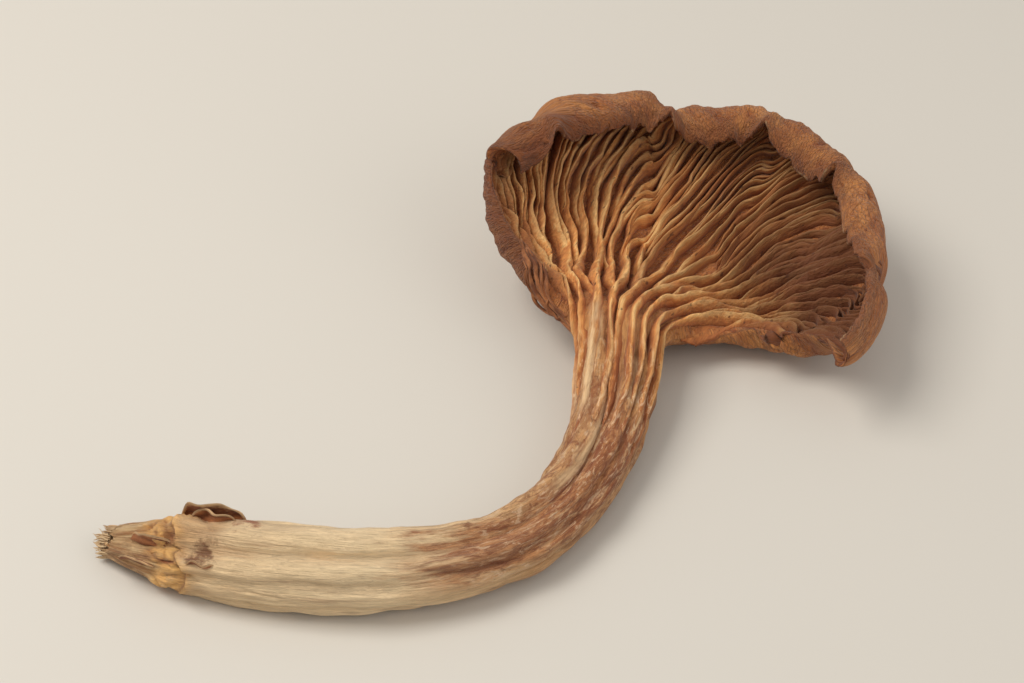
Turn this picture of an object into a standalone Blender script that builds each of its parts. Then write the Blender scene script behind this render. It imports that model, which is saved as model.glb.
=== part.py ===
"""A dried oyster mushroom: one solid, lying on the back of its cap with the gills up.

The stem comes in from the left along the surface, turns away and opens at the neck into a fan shaped
cap, whose margin is rolled in over the gills. Every point of the skin has three coordinates:
    s     millimetres along the mushroom from the neck, negative down the stem, positive over the cap
    a     place across it, from -1 at the left edge to 1 at the right edge
    side  1 for the front, which has the gills, and -1 for the back
Constants are in millimetres and degrees unless they say otherwise. The mesh is in metres, with +Z up,
and its origin is on the surface under the middle of the mushroom's box.
"""

import math

import bpy
import numpy as np

MM = 0.001

# The stem's centre line is one cubic Bezier curve: cut end, two pulls and the neck, where the cap starts.
STEM_CURVE = ((-47.0, -29.0, 1.4), (-25.0, -38.0, 6.0), (-1.0, -39.0, -0.3), (0.0, -4.0, 4.3))
CURVE_SAMPLES = 400
# Half width of the stem at shares of its length, from the cut end to the neck.
STEM_SHARES = (0.0, 0.05, 0.16, 0.32, 0.50, 0.68, 0.84, 1.0)
STEM_HALF_WIDTHS = (1.6, 2.5, 3.5, 3.6, 3.2, 2.9, 3.3, 4.0)
STEM_FLATNESS = 0.88
# Furrows that drying leaves along the stem: how many round it, how deep and their phase, how far they
# twist over its length, and the share of its length in which they start.
FURROWS = ((3, 0.35, 0.4), (5, 0.28, 1.9), (8, 0.22, 3.1))
FURROW_TWIST = 50.0
FURROWS_START = 0.1

# The margin of the cap: angles on the fan, from the left edge to the right edge, and how far from the
# neck it is there. The flat cap reaches further, by what the roll of the margin takes.
MARGIN_AT = (-46.0, -30.0, -14.0, 2.0, 18.0, 36.0, 54.0, 72.0, 96.0)
REACHES = (20.0, 23.0, 27.5, 31.5, 33.5, 32.0, 26.5, 16.0, 5.5)
ROLL_TAKES = 8.0
# The fan's left and right edges: their angles, and at what shares of the way to the margin they have
# them. The fan's lines would meet this far behind the neck.
LEFT_EDGE, LEFT_OPENS = (-33.0, -37.0, -24.0), (0.0, 0.35, 1.0)
RIGHT_EDGE, RIGHT_OPENS = (40.0, 62.0, 90.0), (0.0, 0.30, 0.80)
FAN_ROOT = 8.5
# Lobes of the margin: waves round the fan, depth as a share of the reach, phase.
LOBES = ((4, 0.030, 0.6), (9, 0.018, 2.2), (17, 0.010, 0.3))
# Splits of the margin: angle on the fan, depth, half width in degrees.
SPLITS = ((-16.0, 2.0, 2.4), (9.0, 3.0, 2.2), (28.0, 2.0, 2.0), (44.0, 1.8, 2.2), (66.0, 2.4, 2.8))

# The cap has the shape of a bowl that lies open side up: its lowest point from the neck, its radii to the
# sides and to the far and near rim, its depth, and how far its lowest point is pressed into the surface.
BOWL_RIGHT, BOWL_AWAY = 8.5, 9.0
BOWL_RADIUS_SIDE, BOWL_RADIUS_FAR, BOWL_RADIUS_NEAR = 28.5, 31.0, 32.0
BOWL_DEPTH, BOWL_PRESSED = 26.0, 0.6
BOWL_STEEPEST = 0.96
# Round the neck the cap stands higher: by how much, and how far from the neck this ends.
NECK_RISE, NECK_RISE_TO = 1.7, 17.0
# Waves of the cap: how many round the bowl, height at its rim, phase, and the shares of its radius that
# they grow over.
WAVES = ((3, 0.9, 0.4), (5, 0.7, 2.0), (8, 0.35, 1.1))
WAVES_FROM, WAVES_FULL = 0.25, 0.9

# The margin rolls over the gills, tighter towards its rim. At the same angles: how far it turns, and how
# wide the rolled strip is. A split takes this share of the turn away.
ROLL_TURNS = (265.0, 260.0, 250.0, 240.0, 250.0, 245.0, 215.0, 160.0, 120.0)
ROLL_WIDTHS = (9.0, 10.5, 12.0, 12.5, 12.0, 11.5, 9.5, 7.0, 5.0)
ROLL_TIGHTENS = 1.4
SPLIT_UNROLLS = 0.35
# The two edges beside the neck roll too: strip width at most, and as a share of the distance from the
# fan's root, and the shares of the way to the margin where this roll begins, is whole, starts to end and
# has ended.
EDGE_ROLL_WIDTH, EDGE_ROLL_SHARE = 5.0, 0.45
EDGE_ROLL_ALONG = (0.02, 0.3, 0.70, 0.90)
CORNER_SHARPNESS = 3.0
ROLL_SAMPLES = 24
SLOPE_STEP = 0.05

# Flesh between the two skins: at the neck, in the cap and at the margin. It thins over these millimetres
# from the neck, and again between these shares of the way to the margin. Its two edges are round, and
# squarer in the cap.
NECK_FLESH, CAP_FLESH, MARGIN_FLESH = 4.6, 2.0, 0.9
NECK_FLESH_TO = 9.0
MARGIN_FLESH_FROM, MARGIN_FLESH_TO = 0.35, 0.85
NECK_EDGE_POWER, CAP_EDGE_POWER, CAP_EDGE_AT = 2.0, 16.0, 0.4
RIM_FROM, RIM_THINS = 0.97, 0.4
# Over this stretch the round stem turns into the fan.
FAN_STARTS, FAN_ENDS = -7.0, 12.0

# Gills are ridges of the front. Every fourth one runs down on to the stem, and the others start between
# them, at these shares of the way to the margin. A foot is half a ridge's width as a share of the pitch,
# wide at the neck.
GILLS = 40
GILL_HEIGHT, NECK_GILL_SHARE = 1.5, 0.5
GILL_FOOT, NECK_GILL_FOOT, FOOT_NARROWS_TO = 0.32, 1.7, 0.35
GILL_STARTS, GILL_GROWS_OVER = (0.0, 0.24, 0.08, 0.32), 0.14
GILLS_RUN_TO, GILLS_FULL = -15.0, -2.0
# Gills sway from side to side, and sink where the margin is rolled in, at the two edges and the rim.
GILL_SWAY, SWAY_ALONG, SWAY_ACROSS, SWAY_FROM = 0.016, 0.45, 9.0, 8.0
SINK_TURNS, SUNK = (0.5, 2.2), 0.75
EDGE_SINKS, RIM_SINKS_FROM = 0.06, 0.94

# Rings of the mesh: along the plain stem, from there to the roll of the margin, and over the roll.
# Columns go across the front or the back of the plain stem, and across the back from the gills' start.
STEM_RINGS, CAP_RINGS, ROLL_RINGS = 16, 16, 14
STEM_COLUMNS, BACK_COLUMNS = 14, 54
GILL_RINGS_FROM, ROLL_RINGS_FROM = -12.0, 0.64
SHARP_EDGE = 40.0

SKIN = {"colour": (0.42, 0.25, 0.13, 1.0), "roughness": 0.82, "metallic": 0.0}


def smooth(x, low, high):
    """0 below low, 1 above high, and an even step between."""
    t = np.clip((x - low) / (high - low), 0.0, 1.0)
    return t * t * (3.0 - 2.0 * t)


def unit(v):
    return v / np.linalg.norm(v, axis=-1, keepdims=True)


def through(x, places, values):
    """A smooth curve through values at places, read at x."""
    places, values = np.array(places), np.array(values)
    slopes = np.gradient(values, places)
    k = np.clip(np.searchsorted(places, x) - 1, 0, len(places) - 2)
    gap = places[k + 1] - places[k]
    t = np.clip((x - places[k]) / gap, 0.0, 1.0)
    start = (1 + 2 * t) * (1 - t) ** 2 * values[k] + t * (1 - t) ** 2 * gap * slopes[k]
    return start + t * t * (3 - 2 * t) * values[k + 1] + t * t * (t - 1) * gap * slopes[k + 1]


def waves_of(table, angle):
    """The sum of a table of waves: count, height, phase."""
    return sum(height * np.sin(count * angle + phase) for count, height, phase in table)


def curve_points():
    """The stem's centre line from the cut end to the neck, and how far each point is from the neck."""
    t = np.linspace(0.0, 1.0, CURVE_SAMPLES)[:, None]
    p = np.array(STEM_CURVE)
    line = (1 - t) ** 3 * p[0] + 3 * t * (1 - t) ** 2 * p[1] + 3 * t**2 * (1 - t) * p[2] + t**3 * p[3]
    steps = np.linalg.norm(np.diff(line, axis=0), axis=1)
    along = np.concatenate([[0.0], np.cumsum(steps)])
    return line, along - along[-1]


LINE, LINE_S = curve_points()
STEM_LENGTH = -LINE_S[0]
NECK = LINE[-1]


def stem_frame(s):
    """Centre, right and front of the stem at s. Past the neck it goes straight on."""
    inside = np.minimum(s, 0.0)
    centre = np.stack([np.interp(inside, LINE_S, LINE[:, k]) for k in range(3)], axis=-1)
    slopes = np.gradient(LINE, LINE_S, axis=0)
    tangent = unit(np.stack([np.interp(inside, LINE_S, slopes[:, k]) for k in range(3)], axis=-1))
    centre = centre + tangent * np.maximum(s, 0.0)[..., None]
    up = np.array([0.0, 0.0, 1.0])
    front = unit(up - tangent * tangent[..., 2:3])
    return centre, np.cross(tangent, front), front


def stem_point(s, a, side):
    """A point of the stem's skin and the way out of it."""
    centre, right, front = stem_frame(s)
    share = 1.0 + np.minimum(s, 0.0) / STEM_LENGTH
    turn = np.radians(90.0 - 90.0 * a) * side
    furrow = waves_of(FURROWS, turn + np.radians(FURROW_TWIST) * (1.0 - share))
    half = through(share, STEM_SHARES, STEM_HALF_WIDTHS) + furrow * smooth(share, 0.0, FURROWS_START)
    way = right * np.cos(turn)[..., None] + front * (STEM_FLATNESS * np.sin(turn))[..., None]
    return centre + way * half[..., None], unit(way)


def in_split(angle, at, half):
    """How far into one split of the margin an angle is: 0 away from it, 1 in its middle."""
    return np.exp(-(((angle - at) / half) ** 2))


def reach(angle):
    """How far the flat cap reaches from the neck, at an angle on the fan."""
    splits = sum(depth * in_split(angle, at, half) for at, depth, half in SPLITS)
    lobes = 1.0 + waves_of(LOBES, np.radians(angle))
    return (through(angle, MARGIN_AT, REACHES) + ROLL_TAKES) * lobes - splits


MEAN_REACH = float(np.mean(reach(np.linspace(MARGIN_AT[1], MARGIN_AT[-2], 60))))


def bowl(right, away):
    """Height of the cap's middle surface over a place, given from the neck."""
    radius_y = np.where(away > BOWL_AWAY, BOWL_RADIUS_FAR, BOWL_RADIUS_NEAR)
    x, y = (right - BOWL_RIGHT) / BOWL_RADIUS_SIDE, (away - BOWL_AWAY) / radius_y
    out = np.minimum(x * x + y * y, BOWL_STEEPEST)
    ripple = waves_of(WAVES, np.arctan2(y, x)) * smooth(np.sqrt(out), WAVES_FROM, WAVES_FULL)
    rise = NECK_RISE * (1.0 - smooth(np.hypot(right, away), 0.0, NECK_RISE_TO))
    return BOWL_DEPTH * (1.0 - np.sqrt(1.0 - out)) + ripple + rise + 0.5 * CAP_FLESH - BOWL_PRESSED


def bowl_slopes(right, away):
    """How steeply the cap's middle surface climbs to the right and away."""
    h = SLOPE_STEP
    to_right = (bowl(right + h, away) - bowl(right - h, away)) / (2 * h)
    to_away = (bowl(right, away + h) - bowl(right, away - h)) / (2 * h)
    return to_right, to_away


def rolled(turn, width, strip):
    """How far out and up a point moves that lies this far into a strip that rolls, and its own turn."""
    share = np.clip(strip / width, 0.0, 1.0)
    steps = (np.arange(ROLL_SAMPLES) + 0.5) / ROLL_SAMPLES
    turns = turn[..., None] * (share[..., None] * steps) ** ROLL_TIGHTENS
    return strip * np.cos(turns).mean(-1), strip * np.sin(turns).mean(-1), turn * share**ROLL_TIGHTENS


def fan_place(q, s, a):
    """A fibre's place on the flat cap: angle, distance from the fan's root, and half the fan's angle."""
    left, right = through(q, LEFT_OPENS, LEFT_EDGE), through(q, RIGHT_OPENS, RIGHT_EDGE)
    half = (right - left) / 2.0
    angle = (right + left) / 2.0 + half * a
    return angle, FAN_ROOT + np.where(s < 0.0, s, q * reach(angle)), half


def roll_strip(q, a, angle, distance, half):
    """How far a place lies inside the strip that rolls, the strip's width, and the way out across it."""
    theta = np.radians(angle)
    margin_width = through(angle, MARGIN_AT, ROLL_WIDTHS)
    edge_width = np.minimum(EDGE_ROLL_WIDTH, EDGE_ROLL_SHARE * distance)
    to_margin = (1.0 - q) * reach(angle)
    to_edge = distance * np.radians(half) * (1.0 - np.abs(a))
    begins, whole, ends, ended = EDGE_ROLL_ALONG
    edge_there = smooth(q, begins, whole) * (1.0 - smooth(q, ends, ended))
    outer = np.maximum(0.0, margin_width - to_margin) ** CORNER_SHARPNESS
    beside = np.maximum(0.0, (edge_width - to_edge) * edge_there) ** CORNER_SHARPNESS
    strip = (outer + beside) ** (1.0 / CORNER_SHARPNESS)
    outer = np.where(strip > 0.0, outer, 1.0)
    right = outer * np.sin(theta) + beside * np.sign(a) * np.cos(theta)
    away = outer * np.cos(theta) - beside * np.sign(a) * np.sin(theta)
    length = np.hypot(right, away)
    return strip, np.maximum(margin_width, edge_width), right / length, away / length


def cap_point(s, a):
    """A point of the cap's middle surface, the way out of its gill side, and its share and turn."""
    q = np.clip(s / MEAN_REACH, 0.0, 1.0)
    angle, distance, half = fan_place(q, s, a)
    theta, root = np.radians(angle), np.radians((LEFT_EDGE[0] + RIGHT_EDGE[0]) / 2.0)
    strip, width, way_right, way_away = roll_strip(q, a, angle, distance, half)
    foot_right = distance * np.sin(theta) - FAN_ROOT * np.sin(root) - way_right * strip
    foot_away = distance * np.cos(theta) - FAN_ROOT * np.cos(root) - way_away * strip
    height = bowl(foot_right, foot_away)
    slope_right, slope_away = bowl_slopes(foot_right, foot_away)
    normal = unit(np.stack([-slope_right, -slope_away, np.ones_like(height)], axis=-1))
    climb = slope_right * way_right + slope_away * way_away
    outward = unit(np.stack([way_right, way_away, climb], axis=-1))
    unrolls = sum(in_split(angle, at, split_half) for at, _, split_half in SPLITS)
    turn = through(angle, MARGIN_AT, ROLL_TURNS) * (1.0 - SPLIT_UNROLLS * unrolls)
    out, up, turned = rolled(np.radians(turn), width, strip)
    foot = np.stack([NECK[0] + foot_right, NECK[1] + foot_away, height], axis=-1)
    point = foot + outward * out[..., None] + normal * up[..., None]
    gillward = normal * np.cos(turned)[..., None] - outward * np.sin(turned)[..., None]
    return point, gillward, q, turned


def flesh(q, a):
    """Thickness between the cap's two skins."""
    from_neck = smooth(q * MEAN_REACH, 0.0, NECK_FLESH_TO)
    thick = NECK_FLESH + (CAP_FLESH - NECK_FLESH) * from_neck
    thick = thick + (MARGIN_FLESH - CAP_FLESH) * smooth(q, MARGIN_FLESH_FROM, MARGIN_FLESH_TO)
    power = NECK_EDGE_POWER + (CAP_EDGE_POWER - NECK_EDGE_POWER) * smooth(q, 0.0, CAP_EDGE_AT)
    edge = np.sqrt(np.maximum(0.0, 1.0 - np.abs(a) ** power))
    return thick * edge * (1.0 - RIM_THINS * smooth(q, RIM_FROM, 1.0))


def gill_height(s, q, a, turned):
    """How far the gill ridges stand out of the front at a place."""
    place = (a + 1.0) / 2.0 * GILLS
    foot = NECK_GILL_FOOT + (GILL_FOOT - NECK_GILL_FOOT) * smooth(q, 0.0, FOOT_NARROWS_TO)
    ridge = np.zeros_like(place)
    for number in range(GILLS):
        starts = GILL_STARTS[number % len(GILL_STARTS)]
        grown = smooth(q, starts, starts + GILL_GROWS_OVER) if starts > 0.0 else 1.0
        ridge = np.maximum(ridge, grown * (1.0 - np.abs(place - number - 0.5) / foot))
    along = NECK_GILL_SHARE + (1.0 - NECK_GILL_SHARE) * smooth(q, 0.0, GILL_STARTS[1])
    along = along * smooth(s, GILLS_RUN_TO, GILLS_FULL) * (1.0 - smooth(q, RIM_SINKS_FROM, 1.0))
    sunk = (1.0 - SUNK * smooth(turned, *SINK_TURNS)) * smooth(1.0 - np.abs(a), 0.0, EDGE_SINKS)
    return GILL_HEIGHT * ridge * along * sunk


def skin_point(s, a, side):
    """A point of the mushroom's skin."""
    tube, tube_way = stem_point(s, a, side)
    sway = GILL_SWAY * (1.0 - a * a) * np.sin(SWAY_ALONG * s + SWAY_ACROSS * a) * smooth(s, 0.0, SWAY_FROM)
    middle, gillward, q, turned = cap_point(np.maximum(s, FAN_STARTS), a + sway)
    cap = middle + gillward * (0.5 * side * flesh(q, a))[..., None]
    fan = smooth(s, FAN_STARTS, FAN_ENDS)[..., None]
    point = tube + (cap - tube) * fan
    if side > 0:
        way = unit(tube_way + (gillward - tube_way) * fan)
        point = point + way * gill_height(s, q, a, turned)[..., None]
    return point


def ring(s, front, back):
    """One loop round the mushroom: over the front from left to right, and home along the back."""
    over = skin_point(np.full(len(front), s), front, 1)
    under = skin_point(np.full(len(back), s), back, -1)
    return np.concatenate([over, under]), np.concatenate([(front + 1) / 2, 1 + (1 - back) / 2])


def zipped(first, first_at, second, second_at):
    """Triangles between two rows of points, matched by how far along its row each point is."""
    made, i, j = [], 0, 0
    while i < len(first) - 1 or j < len(second) - 1:
        if j == len(second) - 1 or (i < len(first) - 1 and first_at[i + 1] <= second_at[j + 1]):
            made.append((first[i], first[i + 1], second[j]))
            i += 1
        else:
            made.append((first[i], second[j + 1], second[j]))
            j += 1
    return made


def columns(has_gills):
    """Places across the front and the back of a ring. Each gill has its two feet and its crest."""
    if not has_gills:
        front = np.linspace(-1.0, 1.0, STEM_COLUMNS + 1)
        return front, front[-2:0:-1]
    pitch = 2.0 / GILLS
    crests = -1.0 + (np.arange(GILLS) + 0.5) * pitch
    foot = GILL_FOOT * pitch
    front = np.sort(np.concatenate([[-1.0, 1.0], crests - foot, crests, crests + foot]))
    return front, np.linspace(-1.0, 1.0, BACK_COLUMNS + 1)[-2:0:-1]


def ring_places():
    """Where the rings are, from the cut end of the stem to the margin."""
    roll_from = ROLL_RINGS_FROM * MEAN_REACH
    stem = np.linspace(-STEM_LENGTH, GILL_RINGS_FROM, STEM_RINGS, endpoint=False)
    cap = np.linspace(GILL_RINGS_FROM, roll_from, CAP_RINGS, endpoint=False)
    return np.concatenate([stem, cap, np.linspace(roll_from, MEAN_REACH, ROLL_RINGS)])


def mushroom_mesh():
    """Vertices and triangles of the closed skin: rings joined in turn, then both ends closed."""
    points, faces, rows = [], [], []
    count = 0
    for s in ring_places():
        front, back = columns(s >= GILL_RINGS_FROM)
        loop, at = ring(s, front, back)
        index = list(range(count, count + len(loop))) + [count]
        rows.append((index, np.append(at, 2.0)))
        points.append(loop)
        count += len(loop)
        if len(rows) > 1:
            faces += zipped(*rows[-2], *rows[-1])
    margin, at = rows[-1]
    last = len(front) - 1
    faces += zipped(margin[: last + 1], at[: last + 1], margin[last:][::-1], 2.0 - at[last:][::-1])
    cut_end = rows[0][0]
    points.append(points[0].mean(0)[None, :])
    faces += [(second, first, count) for first, second in zip(cut_end, cut_end[1:])]
    return np.concatenate(points), faces


def standing(points):
    """The points, pressed flat where they would go under the surface, with the box's middle at 0."""
    points = points.copy()
    points[:, 2] = np.maximum(points[:, 2], 0.0)
    points[:, :2] -= (points[:, :2].min(0) + points[:, :2].max(0)) / 2
    return points


def skin_material():
    material = bpy.data.materials.new("dried_skin")
    material.use_nodes = True
    shader = material.node_tree.nodes["Principled BSDF"]
    shader.inputs["Base Color"].default_value = SKIN["colour"]
    shader.inputs["Roughness"].default_value = SKIN["roughness"]
    shader.inputs["Metallic"].default_value = SKIN["metallic"]
    return material


def main():
    for old in list(bpy.data.objects):
        bpy.data.objects.remove(old)
    points, faces = mushroom_mesh()
    mesh = bpy.data.meshes.new("oyster_mushroom")
    mesh.from_pydata((standing(points) * MM).tolist(), [], faces)
    mesh.validate()
    mesh.materials.append(skin_material())
    mesh.shade_smooth()
    mesh.set_sharp_from_angle(angle=math.radians(SHARP_EDGE))
    mushroom = bpy.data.objects.new("oyster_mushroom", mesh)
    bpy.context.scene.collection.objects.link(mushroom)


main()
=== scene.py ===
"""The looks of one dried oyster mushroom, lying gills up on a pale surface.

The plain solid is replaced by a finer skin of the same form, with furrows, wrinkles and a torn margin, and
by thin gill blades that stand on it. Shape constants are in millimetres and degrees, and meshes in metres.
A point of the skin is named by s, the millimetres from the neck along the mushroom, by a, its place across
from -1 at the left edge to 1 at the right edge, and by its side, 1 for the front with the gills and -1 for
the back. The share of the way from the neck to the margin is q.
"""

import math

import bpy
import numpy as np
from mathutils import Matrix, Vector


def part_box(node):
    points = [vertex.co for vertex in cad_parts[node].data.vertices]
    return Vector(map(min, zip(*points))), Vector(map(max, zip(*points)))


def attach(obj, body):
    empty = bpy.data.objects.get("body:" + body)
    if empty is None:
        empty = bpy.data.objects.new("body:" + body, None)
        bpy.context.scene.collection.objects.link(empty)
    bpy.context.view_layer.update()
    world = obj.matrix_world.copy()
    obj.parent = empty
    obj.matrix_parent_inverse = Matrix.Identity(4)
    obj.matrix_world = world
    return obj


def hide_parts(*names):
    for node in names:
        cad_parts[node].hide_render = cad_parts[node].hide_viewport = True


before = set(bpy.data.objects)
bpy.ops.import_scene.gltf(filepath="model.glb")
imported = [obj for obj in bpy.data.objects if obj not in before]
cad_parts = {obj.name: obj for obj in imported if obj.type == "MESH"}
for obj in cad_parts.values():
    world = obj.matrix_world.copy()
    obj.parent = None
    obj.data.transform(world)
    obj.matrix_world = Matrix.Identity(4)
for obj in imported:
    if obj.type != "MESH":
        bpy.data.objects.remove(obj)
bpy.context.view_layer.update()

MM = 0.001
TINY = 1e-12
NODE = "oyster_mushroom"

# The stem: its centre line as a Bezier curve that ends at the neck, and its half widths from cut end to neck.
STEM_CURVE = ((-47.0, -29.0, 1.4), (-25.0, -38.0, 6.0), (-1.0, -39.0, -0.3), (0.0, -4.0, 4.3))
CURVE_SAMPLES = 400
STEM_SHARES = (0.0, 0.05, 0.16, 0.32, 0.50, 0.68, 0.84, 1.0)
STEM_HALF_WIDTHS = (1.6, 2.5, 3.5, 3.6, 3.2, 2.9, 3.3, 4.0)
STEM_FLATNESS = 0.88
FURROWS = ((3, 0.35, 0.4), (5, 0.28, 1.9), (8, 0.22, 3.1))
FURROW_TWIST = 50.0
FURROWS_START = 0.1

# The cap's outline: angles on the fan, reach of the rolled margin there, lobes and splits.
MARGIN_AT = (-46.0, -30.0, -14.0, 2.0, 18.0, 36.0, 54.0, 72.0, 96.0)
REACHES = (20.0, 23.0, 27.5, 31.5, 33.5, 32.0, 26.5, 16.0, 5.5)
REACH_SAMPLES = 60
ROLL_TAKES = 8.0
LEFT_EDGE, LEFT_OPENS = (-33.0, -37.0, -24.0), (0.0, 0.35, 1.0)
RIGHT_EDGE, RIGHT_OPENS = (40.0, 62.0, 90.0), (0.0, 0.30, 0.80)
FAN_ROOT = 8.5
LOBES = ((4, 0.030, 0.6), (9, 0.018, 2.2), (17, 0.010, 0.3))
SPLITS = ((-16.0, 2.0, 2.4), (9.0, 3.0, 2.2), (28.0, 2.0, 2.0), (44.0, 1.8, 2.2), (66.0, 2.4, 2.8))

# The bowl that the cap lies in, and its waves.
BOWL_RIGHT, BOWL_AWAY = 8.5, 9.0
BOWL_RADIUS_SIDE, BOWL_RADIUS_FAR, BOWL_RADIUS_NEAR = 28.5, 31.0, 32.0
BOWL_DEPTH, BOWL_PRESSED = 26.0, 0.6
BOWL_STEEPEST = 0.96
NECK_RISE, NECK_RISE_TO = 1.7, 17.0
WAVES = ((3, 0.9, 0.4), (5, 0.7, 2.0), (8, 0.35, 1.1))
WAVES_FROM, WAVES_FULL = 0.25, 0.9

# The rolled margin, at the same angles as the outline.
ROLL_TURNS = (265.0, 260.0, 250.0, 240.0, 250.0, 245.0, 215.0, 160.0, 120.0)
ROLL_WIDTHS = (9.0, 10.5, 12.0, 12.5, 12.0, 11.5, 9.5, 7.0, 5.0)
ROLL_TIGHTENS = 1.4
SPLIT_UNROLLS = 0.35
EDGE_ROLL_WIDTH, EDGE_ROLL_SHARE = 5.0, 0.45
EDGE_ROLL_ALONG = (0.02, 0.3, 0.70, 0.90)
CORNER_SHARPNESS = 3.0
ROLL_SAMPLES = 24
SLOPE_STEP, ACROSS_STEP = 0.05, 0.002

# The flesh, and the stretch where the round stem turns into the fan.
NECK_FLESH, CAP_FLESH, MARGIN_FLESH = 4.6, 2.0, 0.9
NECK_FLESH_TO = 9.0
MARGIN_FLESH_FROM, MARGIN_FLESH_TO = 0.35, 0.85
NECK_EDGE_POWER, CAP_EDGE_POWER, CAP_EDGE_AT = 2.0, 16.0, 0.4
RIM_FROM, RIM_THINS = 0.97, 0.4
FAN_STARTS, FAN_ENDS = -7.0, 12.0

# The solid's gills, whose places the long blades keep.
GILLS = 40
GILL_HEIGHT, NECK_GILL_SHARE = 1.5, 0.5
GILL_STARTS, GILL_GROWS_OVER = (0.0, 0.24, 0.08, 0.32), 0.14
GILL_SWAY, SWAY_ALONG, SWAY_ACROSS, SWAY_FROM = 0.016, 0.45, 9.0, 8.0

# Fineness of the skin's mesh, in stretches from the cut end to the margin: where each but the last ends, its
# step along, and its columns across the front and the back. Columns are closer together at the two edges.
BLOCK_ENDS = (-50.0, -12.0, 0.0, 6.0, 13.0, 20.0)
BLOCKS = ((0.24, 72, 64), (0.45, 60, 56), (0.40, 76, 64), (0.36, 96, 100), (0.36, 120, 150), (0.36, 150, 210),
          (0.21, 176, 330))
EDGE_CLOSER = 1.25
STEM_GRAIN_RADIUS = 3.5
BOX_SAMPLES = (400, 200)

# Noise: what scatters the corners of its grid. Ridges made from it: how sharp their grooves are, how round
# their tops are, and their mean height.
SCATTER, SCATTER_AGAIN = (73856093, 19349663, 83492791, 26544357), 1274126177
ALL_BITS, LOW_BITS = 2**32 - 1, 2**16 - 1
CORD_SHARPNESS, CORD_ROUNDNESS, CORD_MEAN = 2.4, 0.7, 0.6

# Furrows of the stem: ridges to a radian round it, length, height. They wander, and deepen towards the neck.
# The first three darken its colour in their grooves with painted shade, each with its share.
STEM_CORDS, STEM_CORDS_SEED = ((1.1, 16.0, 0.32), (2.4, 9.0, 0.27), (5.2, 5.0, 0.15), (9.0, 3.2, 0.09)), 11
FURROW_SHARES = (0.5, 0.3, 0.2)
NECK_DEEPENS, NECK_DEEPER = (-26.0, -6.0), 0.7
# Unevenness round the stem: hills to a radian, length along it, size, seed.
STEM_WANDER = (1.0, 7.0, 0.35, 5)
STEM_BUMPS = (3.0, 1.8, 0.13, 29)
BEND_CREASES = (2.0, 0.9, 0.14, 31)
CREASED_ACROSS, CREASED_FROM, CREASED_TO = (0.45, 0.95), (-40.0, -32.0), (-14.0, -8.0)

# The cap's relief: millimetres to a ridge across, up and along, seed, sharpness. The back has nets, creases,
# folds and pits, and the front has fine ridges between the gills. Both swell.
NET, FINE_NET = (0.85, 3.0, 2.0, 41, CORD_SHARPNESS), (0.425, 3.0, 1.1, 43, CORD_SHARPNESS)
NET_HEIGHT, FINE_NET_HEIGHT, NET_SHARE = 0.15, 0.0675, 0.65
CREASES, CREASES_HEIGHT, CREASES_FADE = (1.5, 6.0, 4.0, 45, 1.6), 0.20, (0.6, 0.85)
FOLDS, FOLD_HEIGHT, FOLDS_FROM = (3.6, 9.0, 10.0, 47, 1.8), 0.30, (0.25, 0.7)
BETWEEN, BETWEEN_HEIGHT = (0.5, math.inf, 3.5, 59, CORD_SHARPNESS), 0.16
SWELL, SWELL_HEIGHT, FRONT_SWELLS = (3.0, 9.0, 3.0, 53), 0.24, 0.6
PITS, PITS_RISE, PIT_DEPTH = (1.5, 4.0, 1.5, 57), (0.55, 0.9), 0.35
CAP_SKIN, GILL_SIDE, GILL_SIDE_TURNS = (-3.0, 7.0), (-2.0, 6.0), (2.4, 3.4)
RIM_CALM, RIM_LOOK = 0.05, (0.9, 1.0)

# The torn margin: teeth to a unit of a, height, seed. The cut end: hills to a radian, length, size, seed.
MARGIN_TEETH, MARGIN_BACK, MARGIN_TORN = ((38.0, 0.45, 61), (90.0, 0.27, 67)), 0.45, (0.92, 1.0)
END_SHREDS, END_BACK, END_TORN = ((2.2, math.inf, 0.65, 71), (7.0, math.inf, 0.455, 72)), 0.78, 5.0
RECESS, RECESS_NARROWER = 0.12, 0.8

# The stem's skin ends in a torn edge before the cut end: how far from there and how uneven it is, how much
# lower and calmer the bare core lies, and the height and width of the lip and of the folds along the edge.
TORN_AT, TORN_WAVES = 9.2, ((1.7, math.inf, 1.7, 73), (5.0, math.inf, 0.595, 74))
CORE_BARES, CORE_LOWER, CORE_CALMS = (-0.3, 0.1), 0.26, 0.6
CORE_CORDS, CORE_FIBRES, CORE_FIBRES_MEAN = (6.5, 5.0, 37), 0.16, 0.5
TORN_FOLDS, TORN_FOLDS_AT, TORN_FOLDS_WIDE, TORN_FOLDS_MEAN = 0.90, -1.5, 2.0, 0.45
TORN_FOLDS_ACROSS = (0.02, 0.2)
LIP_WIDE, LIP_HEIGHT = 0.35, 0.16
# The sets of folds that cross there: share, the way over them, their width, the way along them, length, seed,
# sharpness. A way is how much of it goes round the stem and how much along it.
TORN_FOLD_SETS = ((0.62, (0.8, 0.6), 1.15, (-0.6, 0.8), 3.6, 39, 2.2),
                  (0.38, (0.7, -0.5), 0.9, (0.4, 0.8), 1.5, 40, 2.6))

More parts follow.
